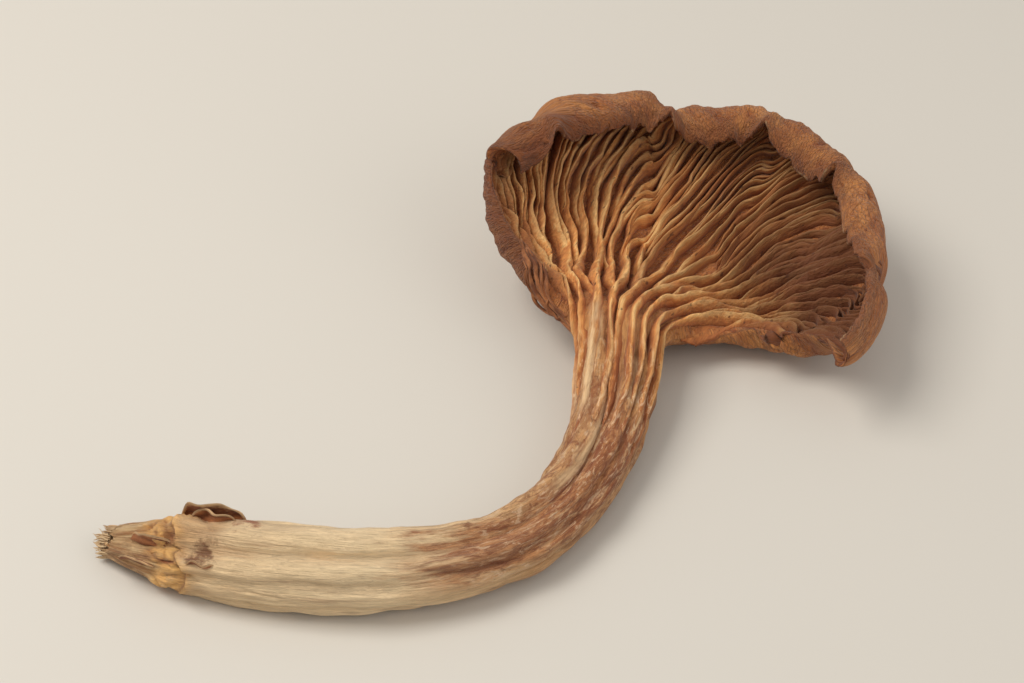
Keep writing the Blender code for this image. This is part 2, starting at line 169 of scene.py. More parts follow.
# The fine gills: how many places there are for them to a ridge of the solid, how many ridges away a ridge's
# parent is by its rank, where those between the ridges start, how high they are, and how far on the stem the
# first ones run.
TO_A_RIDGE, GILL_SEED = 4, 7
RIDGE_PARENTS = (0, 1, 2, 1)
SECOND_STARTS, THIRD_STARTS = (0.28, 0.46), (0.52, 0.72)
RIDGE_TALL, SECOND_TALL, THIRD_TALL = (0.85, 1.12), (0.7, 0.95), (0.5, 0.8)
LEFT_TO_RIGHT, LEFT_LATER, LEFT_SPARES, RIGHT_SPARES = (-0.5, 0.3), 0.08, 0.60, 0.10
JOINS, JOINS_OVER = 0.90, 0.18
STEM_GILL_ENDS = (13.0, 22.0)
GILLS_END, GILL_STEP = 0.985, 0.24
# How gills wave with their neighbours: size, length across and along, step from gill to gill, seed. How they
# wave, thicken and rise on their own: size, step from gill to gill, length, seed.
TOGETHER, ALONE = ((0.62, 5.0, 7.0, 0.0, 81), (0.18, 2.2, 3.0, 0.0, 83)), ((0.22, 5.7, 3.6, 89),)
THICK_UNEVEN, HIGH_UNEVEN = ((0.20, 3.3, 2.6, 91),), ((0.22, 2.3, 2.6, 93), (0.08, 1.0, 0.7, 94))
CREST_WAVES, CREST_TREMBLES = ((0.20, 1.9, 2.2, 0.3, 95),), ((0.08, 1.9, 0.9, 96),)
CREST_WAVES_FROM, LEAN, LEAN_POWER = (0.1, 0.9), ((0.35, 7.0, 8.0, 0.0, 97),), 1.5
NECK_WAVES, WAVES_GROW, CALM_EDGE = 0.20, (2.0, 14.0), 0.08
# Neighbouring ridges run together and part again: how much of their pitch they close, over what length, and
# the heights of the noise between which they do.
MERGE, MERGE_LENGTH, MERGE_RISE = 0.40, 4.2, (0.02, 0.42)
MERGE_STEP, MERGE_SEED, MERGES_ALONG = 7.31, 101, (-21.0, -11.0)
OUTER_PARTS, OUTER_PART = 0.5, (0.25, 0.55)
# A blade's height: it rises on the stem, sinks in the roll, at the edges, at the rim, on the right and in
# hollows, and grows where a gill starts.
GILLS_RISE, RIM_SINKS_FROM, EDGE_LOW = (-21.0, -2.0), 0.94, (0.03, 0.10)
SINK_TURNS, SUNK = (0.5, 2.2), 0.75
RIGHT_PART, RIGHT_LOWER, RIGHT_LOWER_FROM = (-0.4, 0.3), 0.30, (0.2, 0.5)
NEW_GILL_SHARE = 0.45
HOLLOW_SHARE, HOLLOW_STEP = 0.42, 0.3
ENDS_OVER, ENDS_THICK = 1.4, 0.25
# Its thickness as a share of the pitch at the neck and on the cap's two sides, and how far around gills count
# towards the pitch.
NECK_THICK, LEFT_THICK, RIGHT_THICK, HALF_THICK, CAP_THICK_FROM = 0.86, 0.84, 0.64, (0.13, 0.80), (0.1, 0.5)
NEARBY, GROWN = 0.08, (-0.02, 0.10)
# Long and short blades: their seed, and points to a section.
LONG_GILLS, SHORT_GILLS = (1, 15), (2, 9)
# Its section: its root's share of the flesh and depth, how much height its foot has, how square it is, its
# root's width, its unevenness, and its strands: how many to a millimetre, how long, and how high.
ROOT_SHARE, GILL_ROOT = 0.42, (0.16, 0.42)
FOOT_SHARE, SECTION_POWER, CREST_POWER, ROOT_WIDE = 0.15, 2.0, 0.85, 1.12
ROUGH, ROUGH_ACROSS, ROUGH_LENGTH, ROUGH_UP, ROUGH_SEED = 0.12, 3.0, 0.9, 4.0, 98
STRANDS, STRAND_LENGTH, STRAND_HEIGHT, STRAND_MEAN = 1.5, 6.0, 0.30, 0.7
STRAND_STEP, STRAND_SEED, STRAND_SHARPNESS = 5.3, 99, 2.0
# The number for its colour goes from foot to crest, less between strands and on low blades: painted shade at
# the feet, between strands and on low blades, and at the crests their own pale edges with a painted
# highlight.
STRANDS_SHOW, LOW_SHOWS, LOW_BLADES = 0.45, 0.25, (0.1, 0.7)

# Loose strips of the cut end: start along the stem, length, turn, width, lift, curl, thickness, seed.
TORN_STRIPS = ((-60.6, 6.4, 132.0, 2.5, 75.0, 95.0, 0.34, 301),
               (-59.4, 4.6, 112.0, 1.5, 60.0, 110.0, 0.30, 311),
               (-64.3, 4.6, 60.0, 1.2, 25.0, 50.0, 0.30, 321),
               (-65.3, 4.0, 10.0, 1.0, 20.0, 60.0, 0.28, 331),
               (-58.4, 3.0, 28.0, 0.8, 14.0, 40.0, 0.26, 341))
STRIP_ROWS, STRIP_COLUMNS, STRIP_BLUNT = 26, 12, 4
STRIP_LEAST, STRIP_SUNK, STRIP_THINS = 0.15, 0.25, 0.55
# What is uneven on a line: size, waves on it (a twist has waves both ways), and what is added to its seed.
STRIP_BENDS, STRIP_WIDENS, STRIP_TWISTS = (0.10, 3.0, 0), (0.25, 5.0, 1), (0.35, 3.0, 2.0, 2)
# Fibres of the cut end: how far out from the middle they start, their length, radius and splay.
TORN_FIBRES, FIBRE_POINTS, FIBRES_SEED, FIBRE_SEED = 240, 7, 3, 200
FIBRE_OUT, FIBRE_RADIUS, FIBRE_SPLAY, FIBRE_ROOT = (0.02, 1.0), (0.05, 0.12), (-0.6, 0.5), 1.0
FIBRE_BENDS, FIBRE_THICKENS = (0.45, 2.0, 0), (0.4, 5.0, 60)
FIBRE_TAPERS, FIBRE_BLUNT, FIBRE_LEAST = 0.25, (0.85, 8), 0.015
# Torn strands beside the cap's left edge: where they start and end along it, how far they stand off and sag,
# and their radius.
EDGE_STRANDS, EDGE_STRAND_POINTS, STRAND_SIDES = 17, 30, 7
EDGE_STRANDS_SEED, EDGE_STRAND_SEED = 5, 400
STRAND_STARTS, STRAND_ENDS, STRAND_INSIDE = (6.0, 17.0), (-4.0, 3.0), 0.06
STRAND_OFF, STRAND_OFF_POWER, STRAND_SAG, STRAND_RADIUS = (0.1, 0.9), 0.7, 1.6, (0.10, 0.26)
STRAND_SWINGS, STRAND_RISES, STRAND_THICKENS = (0.35, 4.0, 0), (0.5, 3.0, 50), (0.4, 9.0, 90)
STRAND_GRAIN, STRAND_GRAIN_SHIFT, STRAND_FREE = 0.2, 0.7, 0.3


def rgb(red, green, blue):
    """A colour from its usual 0 to 255 values, as the shader wants it."""
    parts = [v / 255.0 for v in (red, green, blue)]
    return tuple(v / 12.92 if v <= 0.04045 else ((v + 0.055) / 1.055) ** 2.4 for v in parts) + (1.0,)


# Kinds of noise: detail, roughness and distortion. Stretches of its values, and what they are drawn out to.
PLAIN, SOFT, RICH, RICHER = (3.0, 0.55, 0.0), (3.0, 0.6, 0.0), (4.0, 0.6, 0.0), (4.0, 0.65, 0.0)
BLOTCHY, FLECKY = (5.0, 0.72, 1.2), (5.0, 0.68, 1.1)
MOST, UP, DOWN = (0.3, 0.7), (0.0, 1.0), (1.0, 0.0)
# Patterns: changes a millimetre across, up and along the fibres, kind, stretch, and what it is drawn out to.
PATTERNS = {
    "stem_drift": ((0.30, 0.30, 0.10), PLAIN, MOST, (-0.03, 0.03)),
    "stem_streaks": ((1.3, 1.3, 0.12), (4.0, 0.6, 0.4), (0.47, 0.62), UP),
    "stem_lines": ((2.4, 2.4, 0.10), (5.0, 0.7, 0.5), (0.59, 0.66), UP),
    "stem_tint": ((5.5, 5.5, 0.5), SOFT, MOST, (0.84, 1.14)),
    "strip_wander": ((0.6, 0.6, 0.22), SOFT, MOST, (-0.07, 0.07)),
    "strip_streaks": ((2.4, 2.4, 0.16), RICHER, (0.36, 0.54), (0.15, 1.0)),
    "pale_blotches": ((1.4, 1.4, 0.34), BLOTCHY, (0.54, 0.62), UP),
    "red_blotches": ((1.4, 1.4, 0.34), BLOTCHY, (0.37, 0.46), DOWN),
    "rusty_flecks": ((2.0, 2.0, 0.55), FLECKY, (0.38, 0.46), DOWN),
    "pale_flecks": ((2.0, 2.0, 0.55), FLECKY, (0.56, 0.61), UP),
    "net_breaks": ((0.7, 0.7, 0.3), SOFT, (0.40, 0.56), (0.15, 1.0)),
    "patch_edge": ((1.2, 1.2, 0.16), (5.0, 0.7, 0.0), MOST, (-1.0, 1.0)),
    "patch_mottle": ((1.3, 1.3, 0.28), (6.0, 0.74, 0.8), (0.42, 0.56), UP),
    "core_streaks": ((2.2, 2.2, 0.25), RICH, (0.40, 0.62), UP),
    "core_stains": ((0.45, 0.45, 0.30), RICH, (0.50, 0.64), UP),
    "golden_patches": ((0.75, 0.75, 0.5), (5.0, 0.65, 0.0), (0.36, 0.52), UP),
    "stain_edge": ((1.0, 1.0, 0.8), (5.0, 0.65, 0.0), MOST, (-0.9, 0.9)),
    "leather": ((0.35, 0.35, 0.35), RICH, (0.35, 0.65), UP),
    "leather_patches": ((0.12, 0.12, 0.12), SOFT, (0.42, 0.62), UP),
    "leather_tint": ((6.0, 2.0, 5.0), PLAIN, MOST, (0.86, 1.12)),
    "between_gills": ((2.5, 1.0, 0.4), PLAIN, (0.35, 0.65), UP),
    "rim_brown": ((0.5, 0.5, 0.5), PLAIN, (0.35, 0.6), (0.3, 0.9)),
    "rim_pale": ((0.9, 0.9, 0.9), PLAIN, (0.45, 0.6), UP),
    "skin_roughness": ((1.5, 1.5, 0.8), PLAIN, MOST, (0.60, 0.82)),
    "crest_edge": ((2.0, 2.0, 0.6), RICH, MOST, (-0.22, 0.22)),
    "gill_tint": ((3.2, 3.2, 0.22), RICH, (0.35, 0.65), (0.78, 1.16)),
    "gill_patches": ((0.22, 0.22, 0.16), SOFT, (0.38, 0.62), UP),
    "gill_specks": ((1.5, 1.5, 0.9), (2.0, 0.5, 0.0), (0.66, 0.72), UP),
    "gill_foot": ((1.4, 1.4, 0.3), PLAIN, MOST, (-0.3, 0.3)),
    "gill_roughness": ((2.0, 2.0, 0.8), PLAIN, MOST, (0.55, 0.78)),
    "fibre_streaks": ((2.4, 2.4, 0.35), RICHER, (0.38, 0.62), UP),
    "strip_patches": ((1.2, 1.2, 0.5), RICH, (0.38, 0.60), UP),
    "strip_edge": ((1.0, 1.0, 1.0), PLAIN, MOST, (-0.2, 0.2)),
    "torn_tint": ((6.0, 6.0, 1.2), PLAIN, MOST, (0.86, 1.10)),
    "torn_roughness": ((1.5, 1.5, 0.8), PLAIN, MOST, (0.62, 0.85)),
}
# Nets of lines: meshes a millimetre each way, how far they wander, the stretch and what it is drawn out to.
NETS = {
    "stem_net": ((0.95, 0.95, 0.30), 1.6, (0.03, 0.12), DOWN),
    "leather_pores": ((2.4, 1.0, 1.7), 0.8, (0.0, 0.16), (0.45, 1.0)),
    "cap_pebbles": ((2.6, 1.0, 2.2), 0.7, (0.0, 0.3), UP),
}
NET_WANDER = {"Scale": 0.8, "Detail": 3.0, "Roughness": 0.6}
# Relief that is too fine for the mesh: changes a millimetre each way, kind, and height in metres.
RELIEFS = {
    "stem_threads": ((4.5, 4.5, 0.22), (5.0, 0.68, 0.0), 0.00050),
    "cap_creases": ((2.2, 1.0, 1.6), (5.0, 0.6, 0.5), 0.00042),
    "skin_grit": ((7.0, 7.0, 6.0), SOFT, 0.00007),
    "gill_threads": ((3.4, 3.4, 0.35), RICHER, 0.00022),
    "gill_grit": ((12.0, 12.0, 9.0), (2.0, 0.5, 0.0), 0.00002),
    "torn_threads": ((5.0, 5.0, 0.5), RICHER, 0.00020),
}
PEBBLE_HEIGHT = 0.00016
SPECULAR, SHEEN, SHEEN_ROUGHNESS = 0.32, 0.12, 0.5

# Colours along the mushroom, a gill's colours from foot to crest (painted shade at the foot, and at the crest
# its own pale edge with a painted highlight), and how strong streaks and the painted shade in grooves are
# along it.
STEM_COLOURS = [(0.0, rgb(206, 160, 110)), (0.07, rgb(222, 178, 126)), (0.11, rgb(242, 210, 164)),
                (0.24, rgb(250, 222, 178)), (0.30, rgb(240, 204, 156)), (0.38, rgb(220, 172, 120)),
                (0.52, rgb(206, 150, 98)), (0.60, rgb(214, 154, 92)), (0.72, rgb(206, 142, 80))]
CREST_COLOURS = [(0.0, rgb(168, 94, 46)), (0.35, rgb(202, 126, 66)), (0.65, rgb(232, 160, 88)),
                 (0.95, rgb(250, 198, 128))]
STREAKS_ALONG = ((0.02, 0.36), (0.12, 0.15), (0.33, 0.17), (0.40, 0.55), (0.58, 0.60), (0.75, 0.75))
GROOVE_SHADE_ALONG = ((0.0, 0.45), (0.30, 0.30), (0.45, 0.50), (0.62, 0.85), (1.0, 0.55))
# Paints that are laid over: how strong, and the colour. The first ones lie in the pattern of their name.
PALE = rgb(238, 202, 154)
PAINTS = {
    "stem_streaks": (1.0, rgb(146, 92, 52)),
    "stem_lines": (1.0, rgb(134, 78, 44)),
    "pale_blotches": (0.60, PALE),
    "red_blotches": (0.62, rgb(138, 72, 38)),
    "rusty_flecks": (0.62, rgb(122, 60, 30)),
    "pale_flecks": (0.72, rgb(232, 196, 158)),
    "core_stains": (0.7, rgb(146, 96, 58)),
    "leather_patches": (0.5, rgb(140, 78, 40)),
    "rim_brown": (1.0, rgb(134, 78, 44)),
    "rim_pale": (1.0, rgb(205, 168, 122)),
    "gill_patches": (0.40, rgb(146, 86, 46)),
    "gill_specks": (0.75, rgb(84, 44, 22)),
}
# The paint under the lip is a painted shadow line, and the paints of the leather's left edge, the gills'
# right part and their outer part are partly painted shade.
STEM_NET, LIP_SHADOW = (0.60, rgb(140, 74, 40)), (0.85, rgb(112, 58, 28))
LEFT_BROWN_AND_SHADE, GILL_LEFT = (0.75, rgb(112, 58, 30)), (0.60, rgb(122, 68, 36))
GILL_STRANDS, GILL_SHADE = (0.45, rgb(168, 104, 56)), (0.88, rgb(98, 50, 25))
GILL_OUTER_BROWN_AND_SHADE = (0.55, rgb(122, 69, 36))
PATCH_SHARE, CORE_SHARE, GOLDEN_SHARE, STAIN_SHARE = 0.80, 0.85, 0.92, 0.85
# Pairs of colours that a pattern goes between, and single ones. The dark ends of the golden and foot pairs
# are painted shade in grooves, the colours between the gills are partly painted shade, and the groove tint is
# painted shade in the skin's grooves.
PATCH_COLOURS = rgb(200, 134, 82), rgb(144, 74, 36)
CORE_COLOURS = rgb(234, 198, 146), rgb(182, 126, 74)
GOLDEN_COLOURS = rgb(148, 78, 34), rgb(244, 188, 112)
LEATHER_COLOURS = rgb(174, 103, 53), rgb(220, 150, 82)
BETWEEN_COLOURS = rgb(154, 86, 43), rgb(196, 125, 68)
FOOT_COLOURS = rgb(158, 96, 52), rgb(212, 158, 104)
FIBRE_COLOURS = rgb(232, 204, 160), rgb(178, 130, 84)
STRIP_COLOURS = rgb(176, 112, 66), rgb(112, 62, 32)
PORE_COLOUR, STRIP_EDGE_COLOUR, GROOVE_SHADE_TINT = rgb(128, 72, 38), rgb(222, 180, 130), rgb(182, 130, 92)
# Where on the mushroom: from, to and blur, or a stretch and what it is drawn out to.
BLOTCHES_ALONG, FLECKS_ALONG, NET_ALONG = (0.38, 0.63, 0.03), (0.31, 0.60, 0.03), (0.40, 0.60, 0.04)
PATCH_ACROSS, PATCH_ALONG = (-0.06, 0.90, 0.10), (0.285, 0.54, 0.02)
PATCH_EDGE_ACROSS, PATCH_EDGE_ALONG = 0.24, 0.045
LINES_ALONG, LEFT_LEATHER = (0.28, 0.36, 0.35, 0.60), (-0.96, -0.66, 1.0, 0.0)
GOLDEN_TOPS, GOLDEN_FOLDS, LIP_CORE, SHADED_GROOVES = (0.30, 0.80), (0.2, 0.7), (0.15, 0.6), (0.05, 0.60, 1.0, 0.0)
RIM_BROWNS, RIM_PALES = (0.1, 0.8), (0.97, 1.0)
SHADE_ACROSS, SHADE_ALONG = (-0.20, 0.42), (0.69, 0.83)
LEFT_ACROSS, LEFT_ALONG, OUTER_ALONG = (-0.97, -0.72, 1.0, 0.0), (0.68, 0.76), (0.80, 0.97)
OTHER_STRANDS, STRANDS_START, FOOT_TONES, FEET_TO = (0.55, 1.0), (-0.03, 0.03), (0.2, 0.8), (0.50, 0.585)
STRIP_EDGES = (0.74, 0.95)
# Pale strips of the upper stem: between which places across and along the mushroom, and how strong.
PALE_STRIPS = ((-0.47, -0.32, 0.53, 0.665, 0.85), (-0.16, -0.03, 0.43, 0.535, 0.8),
               (-1.0, -0.60, 0.30, 0.60, 0.6), (0.30, 0.40, 0.56, 0.64, 0.4))
STRIP_BLUR_ACROSS, STRIP_BLUR_ALONG = 0.035, 0.015
# Stains by the torn edge: turn round the stem, place along it, size, colour.
STAINS = ((112.0, -53.6, 1.1, rgb(156, 84, 50)), (52.0, -57.0, 1.2, rgb(122, 72, 40)),
          (70.0, -60.5, 1.0, rgb(150, 98, 58)))
STAIN_FADES = (0.35, 1.15)

FLOOR_HALF, FLOOR_COLOUR, FLOOR_ROUGHNESS = 1.5, rgb(214, 209, 200), 0.7
SKY_COLOUR, SKY_STRENGTH = (1.0, 0.97, 0.93, 1.0), 0.50
LIGHTS = (("key", (-0.22, 0.02, 0.34), 0.24, 1.08, (1.0, 0.96, 0.90)),
          ("fill", (0.30, -0.22, 0.22), 0.35, 0.36, (1.0, 0.97, 0.94)))
CAMERA_ELEVATION, CAMERA_LENS, CAMERA_DISTANCE, CAMERA_AIM = 40.0, 85.0, 0.235, (0.0, 0.0, 0.005)
CAMERA_NEAREST = 0.01


def smooth(x, low, high):
    """0 below low, 1 above high, and an even step between."""
    t = np.clip((x - low) / (high - low), 0.0, 1.0)
    return t * t * (3.0 - 2.0 * t)


def from_low(low, share):
    """A share that starts at low in place of 0."""
    return low + (1.0 - low) * share


def unit(v):
    return v / np.maximum(np.linalg.norm(v, axis=-1, keepdims=True), TINY)


def through(x, places, values):
    """A smooth curve through values at places, read at x."""
    places, values = np.array(places), np.array(values)
    slopes = np.gradient(values, places)
    k = np.clip(np.searchsorted(places, x) - 1, 0, len(places) - 2)
    gap = places[k + 1] - places[k]
    t = np.clip((x - places[k]) / gap, 0.0, 1.0)
    start = (1 + 2 * t) * (1 - t) ** 2 * values[k] + t * (1 - t) ** 2 * gap * slopes[k]
    return start + t * t * (3 - 2 * t) * values[k + 1] + t * t * (t - 1) * gap * slopes[k + 1]


def waves_of(table, angle):
    """The sum of a table of waves: count, height, phase."""
    return sum(height * np.sin(count * angle + phase) for count, height, phase in table)


def lattice(ix, iy, iz, seed):
    """A fixed random number from -1 to 1 for each corner of a unit grid."""
    h = 0
    for number, scatter in zip((ix, iy, iz, seed), SCATTER):
        h = h ^ (number * scatter)
    h = h & ALL_BITS
    h = ((h ^ (h >> 13)) * SCATTER_AGAIN) & ALL_BITS
    return ((h ^ (h >> 16)) & LOW_BITS) / (LOW_BITS / 2) - 1.0


def noise(x, y, z, seed):
    """Smooth random hills from -1 to 1, about one unit across."""
    cells = [np.floor(c).astype(np.int64) for c in np.broadcast_arrays(x, y, z)]
    parts = [smooth(c - i, 0.0, 1.0) for c, i in zip((x, y, z), cells)]
    total = 0.0
    for corner in range(8):
        step = [(corner >> k) & 1 for k in range(3)]
        weight = 1.0
        for part, up in zip(parts, step):
            weight = weight * (part if up else 1.0 - part)
        total = total + weight * lattice(*(i + up for i, up in zip(cells, step)), seed)
    return total


def cords(x, y, z, seed, sharp=CORD_SHARPNESS):
    """Rounded ridges with narrow grooves between them: 0 in a groove, 1 on top."""
    return np.minimum(1.0, sharp * np.abs(noise(x, y, z, seed))) ** CORD_ROUNDNESS


def round_noise(turn, s, row):
    """Unevenness round the stem, of a row with its hills to a radian, its length, its size and its seed."""
    hills, length, size, seed = row
    return size * noise(hills * np.cos(turn), hills * np.sin(turn), s / length, seed)


def round_cords(turn, s, wander, hills, length, seed):
    """Ridges along the stem that wander to its sides."""
    return cords(hills * np.cos(turn) + wander, hills * np.sin(turn) + wander, s / length, seed)


def cap_noise(flat, across, up, along, seed):
    return noise(flat[:, 0] / across, flat[:, 1] / up, flat[:, 2] / along, seed)


def cap_cords(flat, across, up, along, seed, sharp):
    return cords(flat[:, 0] / across, flat[:, 1] / up, flat[:, 2] / along, seed, sharp)


def line_noise(t, row, seed):
    """Unevenness along a line, of a row with its size, its waves and what is added to its seed."""
    size, waves, more = row
    return size * noise(waves * t, 0 * t, 0 * t, seed + more)


def curve_points():
    """The stem's centre line from the cut end to the neck, and how far each point is from the neck."""
    t = np.linspace(0.0, 1.0, CURVE_SAMPLES)[:, None]
    p = np.array(STEM_CURVE)
    line = (1 - t) ** 3 * p[0] + 3 * t * (1 - t) ** 2 * p[1] + 3 * t**2 * (1 - t) * p[2] + t**3 * p[3]
    steps = np.linalg.norm(np.diff(line, axis=0), axis=1)
    along = np.concatenate([[0.0], np.cumsum(steps)])
    return line, along - along[-1]


LINE, LINE_S = curve_points()
STEM_LENGTH = -LINE_S[0]
NECK = LINE[-1]


def stem_frame(s):
    """Centre, right, front and forward of the stem at s. Past the neck it goes straight on."""
    inside = np.minimum(s, 0.0)
    centre = np.stack([np.interp(inside, LINE_S, LINE[:, k]) for k in range(3)], axis=-1)
    slopes = np.gradient(LINE, LINE_S, axis=0)
    tangent = unit(np.stack([np.interp(inside, LINE_S, slopes[:, k]) for k in range(3)], axis=-1))
    centre = centre + tangent * np.maximum(s, 0.0)[..., None]
    front = unit(np.array([0.0, 0.0, 1.0]) - tangent * tangent[..., 2:3])
    return centre, np.cross(tangent, front), front, tangent


def turn_of(a, side):
    """The angle round the stem of a place across it: a quarter turn is its front."""
    return np.radians(90.0 - 90.0 * a) * side


def stem_point(s, a, side):
    """A point of the plain stem."""
    centre, right, front, _ = stem_frame(s)
    share = 1.0 + np.minimum(s, 0.0) / STEM_LENGTH
    turn = turn_of(a, side)
    furrow = waves_of(FURROWS, turn + np.radians(FURROW_TWIST) * (1.0 - share))
    half = through(share, STEM_SHARES, STEM_HALF_WIDTHS) + furrow * smooth(share, 0.0, FURROWS_START)
    way = right * np.cos(turn)[..., None] + front * (STEM_FLATNESS * np.sin(turn))[..., None]
    return centre + way * half[..., None]


def in_split(angle, at, half):
    """How far into one split of the margin an angle is: 0 away from it, 1 in its middle."""
    return np.exp(-(((angle - at) / half) ** 2))


def reach(angle):
    """How far the flat cap reaches from the neck, at an angle on the fan."""
    splits = sum(depth * in_split(angle, at, half) for at, depth, half in SPLITS)
    lobes = 1.0 + waves_of(LOBES, np.radians(angle))
    return (through(angle, MARGIN_AT, REACHES) + ROLL_TAKES) * lobes - splits


MEAN_REACH = float(np.mean(reach(np.linspace(MARGIN_AT[1], MARGIN_AT[-2], REACH_SAMPLES))))


def bowl(right, away):
    """Height of the cap's middle surface over a place, given from the neck."""
    radius_y = np.where(away > BOWL_AWAY, BOWL_RADIUS_FAR, BOWL_RADIUS_NEAR)
    x, y = (right - BOWL_RIGHT) / BOWL_RADIUS_SIDE, (away - BOWL_AWAY) / radius_y
    out = np.minimum(x * x + y * y, BOWL_STEEPEST)
    ripple = waves_of(WAVES, np.arctan2(y, x)) * smooth(np.sqrt(out), WAVES_FROM, WAVES_FULL)
    rise = NECK_RISE * (1.0 - smooth(np.hypot(right, away), 0.0, NECK_RISE_TO))
    return BOWL_DEPTH * (1.0 - np.sqrt(1.0 - out)) + ripple + rise + 0.5 * CAP_FLESH - BOWL_PRESSED


def bowl_slopes(right, away):
    """How steeply the cap's middle surface climbs to the right and away."""
    h = SLOPE_STEP
    to_right = (bowl(right + h, away) - bowl(right - h, away)) / (2 * h)
    to_away = (bowl(right, away + h) - bowl(right, away - h)) / (2 * h)
    return to_right, to_away


def rolled(turn, width, strip):
    """How far out and up a point moves that lies this far into a strip that turns over, and its own turn."""
    share = np.clip(strip / width, 0.0, 1.0)
    steps = (np.arange(ROLL_SAMPLES) + 0.5) / ROLL_SAMPLES
    turns = turn[..., None] * (share[..., None] * steps) ** ROLL_TIGHTENS
    return strip * np.cos(turns).mean(-1), strip * np.sin(turns).mean(-1), turn * share**ROLL_TIGHTENS


def fan_place(q, s, a):
    """Where a fibre of the flat cap is: its angle, its distance from the fan's root, half the fan's angle."""
    left, right = through(q, LEFT_OPENS, LEFT_EDGE), through(q, RIGHT_OPENS, RIGHT_EDGE)
    half = (right - left) / 2.0
    angle = (right + left) / 2.0 + half * a
    return angle, FAN_ROOT + np.where(s < 0.0, s, q * reach(angle)), half


def roll_strip(q, a, angle, distance, half):
    """How far a place lies inside the strip that rolls, the strip's width, and the way out across it."""
    theta = np.radians(angle)
    margin_width = through(angle, MARGIN_AT, ROLL_WIDTHS)
    edge_width = np.minimum(EDGE_ROLL_WIDTH, EDGE_ROLL_SHARE * distance)
    to_margin = (1.0 - q) * reach(angle)
    to_edge = distance * np.radians(half) * (1.0 - np.abs(a))
    begins, whole, ends, ended = EDGE_ROLL_ALONG
    edge_there = smooth(q, begins, whole) * (1.0 - smooth(q, ends, ended))
    outer = np.maximum(0.0, margin_width - to_margin) ** CORNER_SHARPNESS
    beside = np.maximum(0.0, (edge_width - to_edge) * edge_there) ** CORNER_SHARPNESS
    strip = (outer + beside) ** (1.0 / CORNER_SHARPNESS)
    outer = np.where(strip > 0.0, outer, 1.0)
    right = outer * np.sin(theta) + beside * np.sign(a) * np.cos(theta)
    away = outer * np.cos(theta) - beside * np.sign(a) * np.sin(theta)
    length = np.hypot(right, away)
    return strip, np.maximum(margin_width, edge_width), right / length, away / length


def cap_point(s, a):
    """A point of the cap's middle surface, the way out of its gill side, its share q, and its turn."""
    q = np.clip(s / MEAN_REACH, 0.0, 1.0)
    angle, distance, half = fan_place(q, s, a)
    theta, root = np.radians(angle), np.radians((LEFT_EDGE[0] + RIGHT_EDGE[0]) / 2.0)
    strip, width, way_right, way_away = roll_strip(q, a, angle, distance, half)
    foot_right = distance * np.sin(theta) - FAN_ROOT * np.sin(root) - way_right * strip
    foot_away = distance * np.cos(theta) - FAN_ROOT * np.cos(root) - way_away * strip
    height = bowl(foot_right, foot_away)
    slope_right, slope_away = bowl_slopes(foot_right, foot_away)
    normal = unit(np.stack([-slope_right, -slope_away, np.ones_like(height)], axis=-1))
    climb = slope_right * way_right + slope_away * way_away
    outward = unit(np.stack([way_right, way_away, climb], axis=-1))
    unrolls = sum(in_split(angle, at, split_half) for at, _, split_half in SPLITS)
    turn = through(angle, MARGIN_AT, ROLL_TURNS) * (1.0 - SPLIT_UNROLLS * unrolls)
    out, up, turned = rolled(np.radians(turn), width, strip)
    foot = np.stack([NECK[0] + foot_right, NECK[1] + foot_away, height], axis=-1)
    point = foot + outward * out[..., None] + normal * up[..., None]
    gillward = normal * np.cos(turned)[..., None] - outward * np.sin(turned)[..., None]
    return point, gillward, q, turned


def flesh(q, a):
    """Thickness between the cap's two skins."""
    from_neck = smooth(q * MEAN_REACH, 0.0, NECK_FLESH_TO)
    thick = NECK_FLESH + (CAP_FLESH - NECK_FLESH) * from_neck
    thick = thick + (MARGIN_FLESH - CAP_FLESH) * smooth(q, MARGIN_FLESH_FROM, MARGIN_FLESH_TO)
    power = NECK_EDGE_POWER + (CAP_EDGE_POWER - NECK_EDGE_POWER) * smooth(q, 0.0, CAP_EDGE_AT)
    edge = np.sqrt(np.maximum(0.0, 1.0 - np.abs(a) ** power))
    return thick * edge * (1.0 - RIM_THINS * smooth(q, RIM_FROM, 1.0))


def skin_point(s, a, side):
    """A point of the plain skin, its share of the way to the margin, and how far the roll has turned it."""
    stem = stem_point(s, a, side)
    sway = GILL_SWAY * (1.0 - a * a) * np.sin(SWAY_ALONG * s + SWAY_ACROSS * a) * smooth(s, 0.0, SWAY_FROM)
    middle, gillward, q, turned = cap_point(np.maximum(s, FAN_STARTS), a + sway)
    cap = middle + gillward * (0.5 * side * flesh(q, a))[..., None]
    fan = smooth(s, FAN_STARTS, FAN_ENDS)[..., None]
    return stem + (cap - stem) * fan, q, turned


def laid_flat(s, a, side):
    """The place on the mushroom as if its cap were unrolled flat, so that grain can follow the fibres."""
    q = np.clip(s / MEAN_REACH, 0.0, 1.0)
    turn = turn_of(a, side)
    stem = np.stack([STEM_GRAIN_RADIUS * np.cos(turn), STEM_GRAIN_RADIUS * np.sin(turn), s], axis=-1)
    _, distance, half = fan_place(q, np.maximum(s, FAN_STARTS), a)
    across = np.radians(half * a) * distance
    cap = np.stack([across, side * 0.5 * CAP_FLESH * np.ones_like(s), s], axis=-1)
    return stem + (cap - stem) * smooth(s, FAN_STARTS, FAN_ENDS)[..., None]


def torn_skin(s, a, side):
    """Where the stem's skin is torn off near its end: how bare the core is, how folded, how near the lip."""
    uneven = sum(round_noise(turn_of(a, side), s, row) for row in TORN_WAVES)
    beyond = s + STEM_LENGTH - TORN_AT - uneven
    fold = np.exp(-(((beyond - TORN_FOLDS_AT) / TORN_FOLDS_WIDE) ** 2)) * smooth(1.0 + a, *TORN_FOLDS_ACROSS)
    return 1.0 - smooth(beyond, *CORE_BARES), fold, np.exp(-((beyond / LIP_WIDE) ** 2))


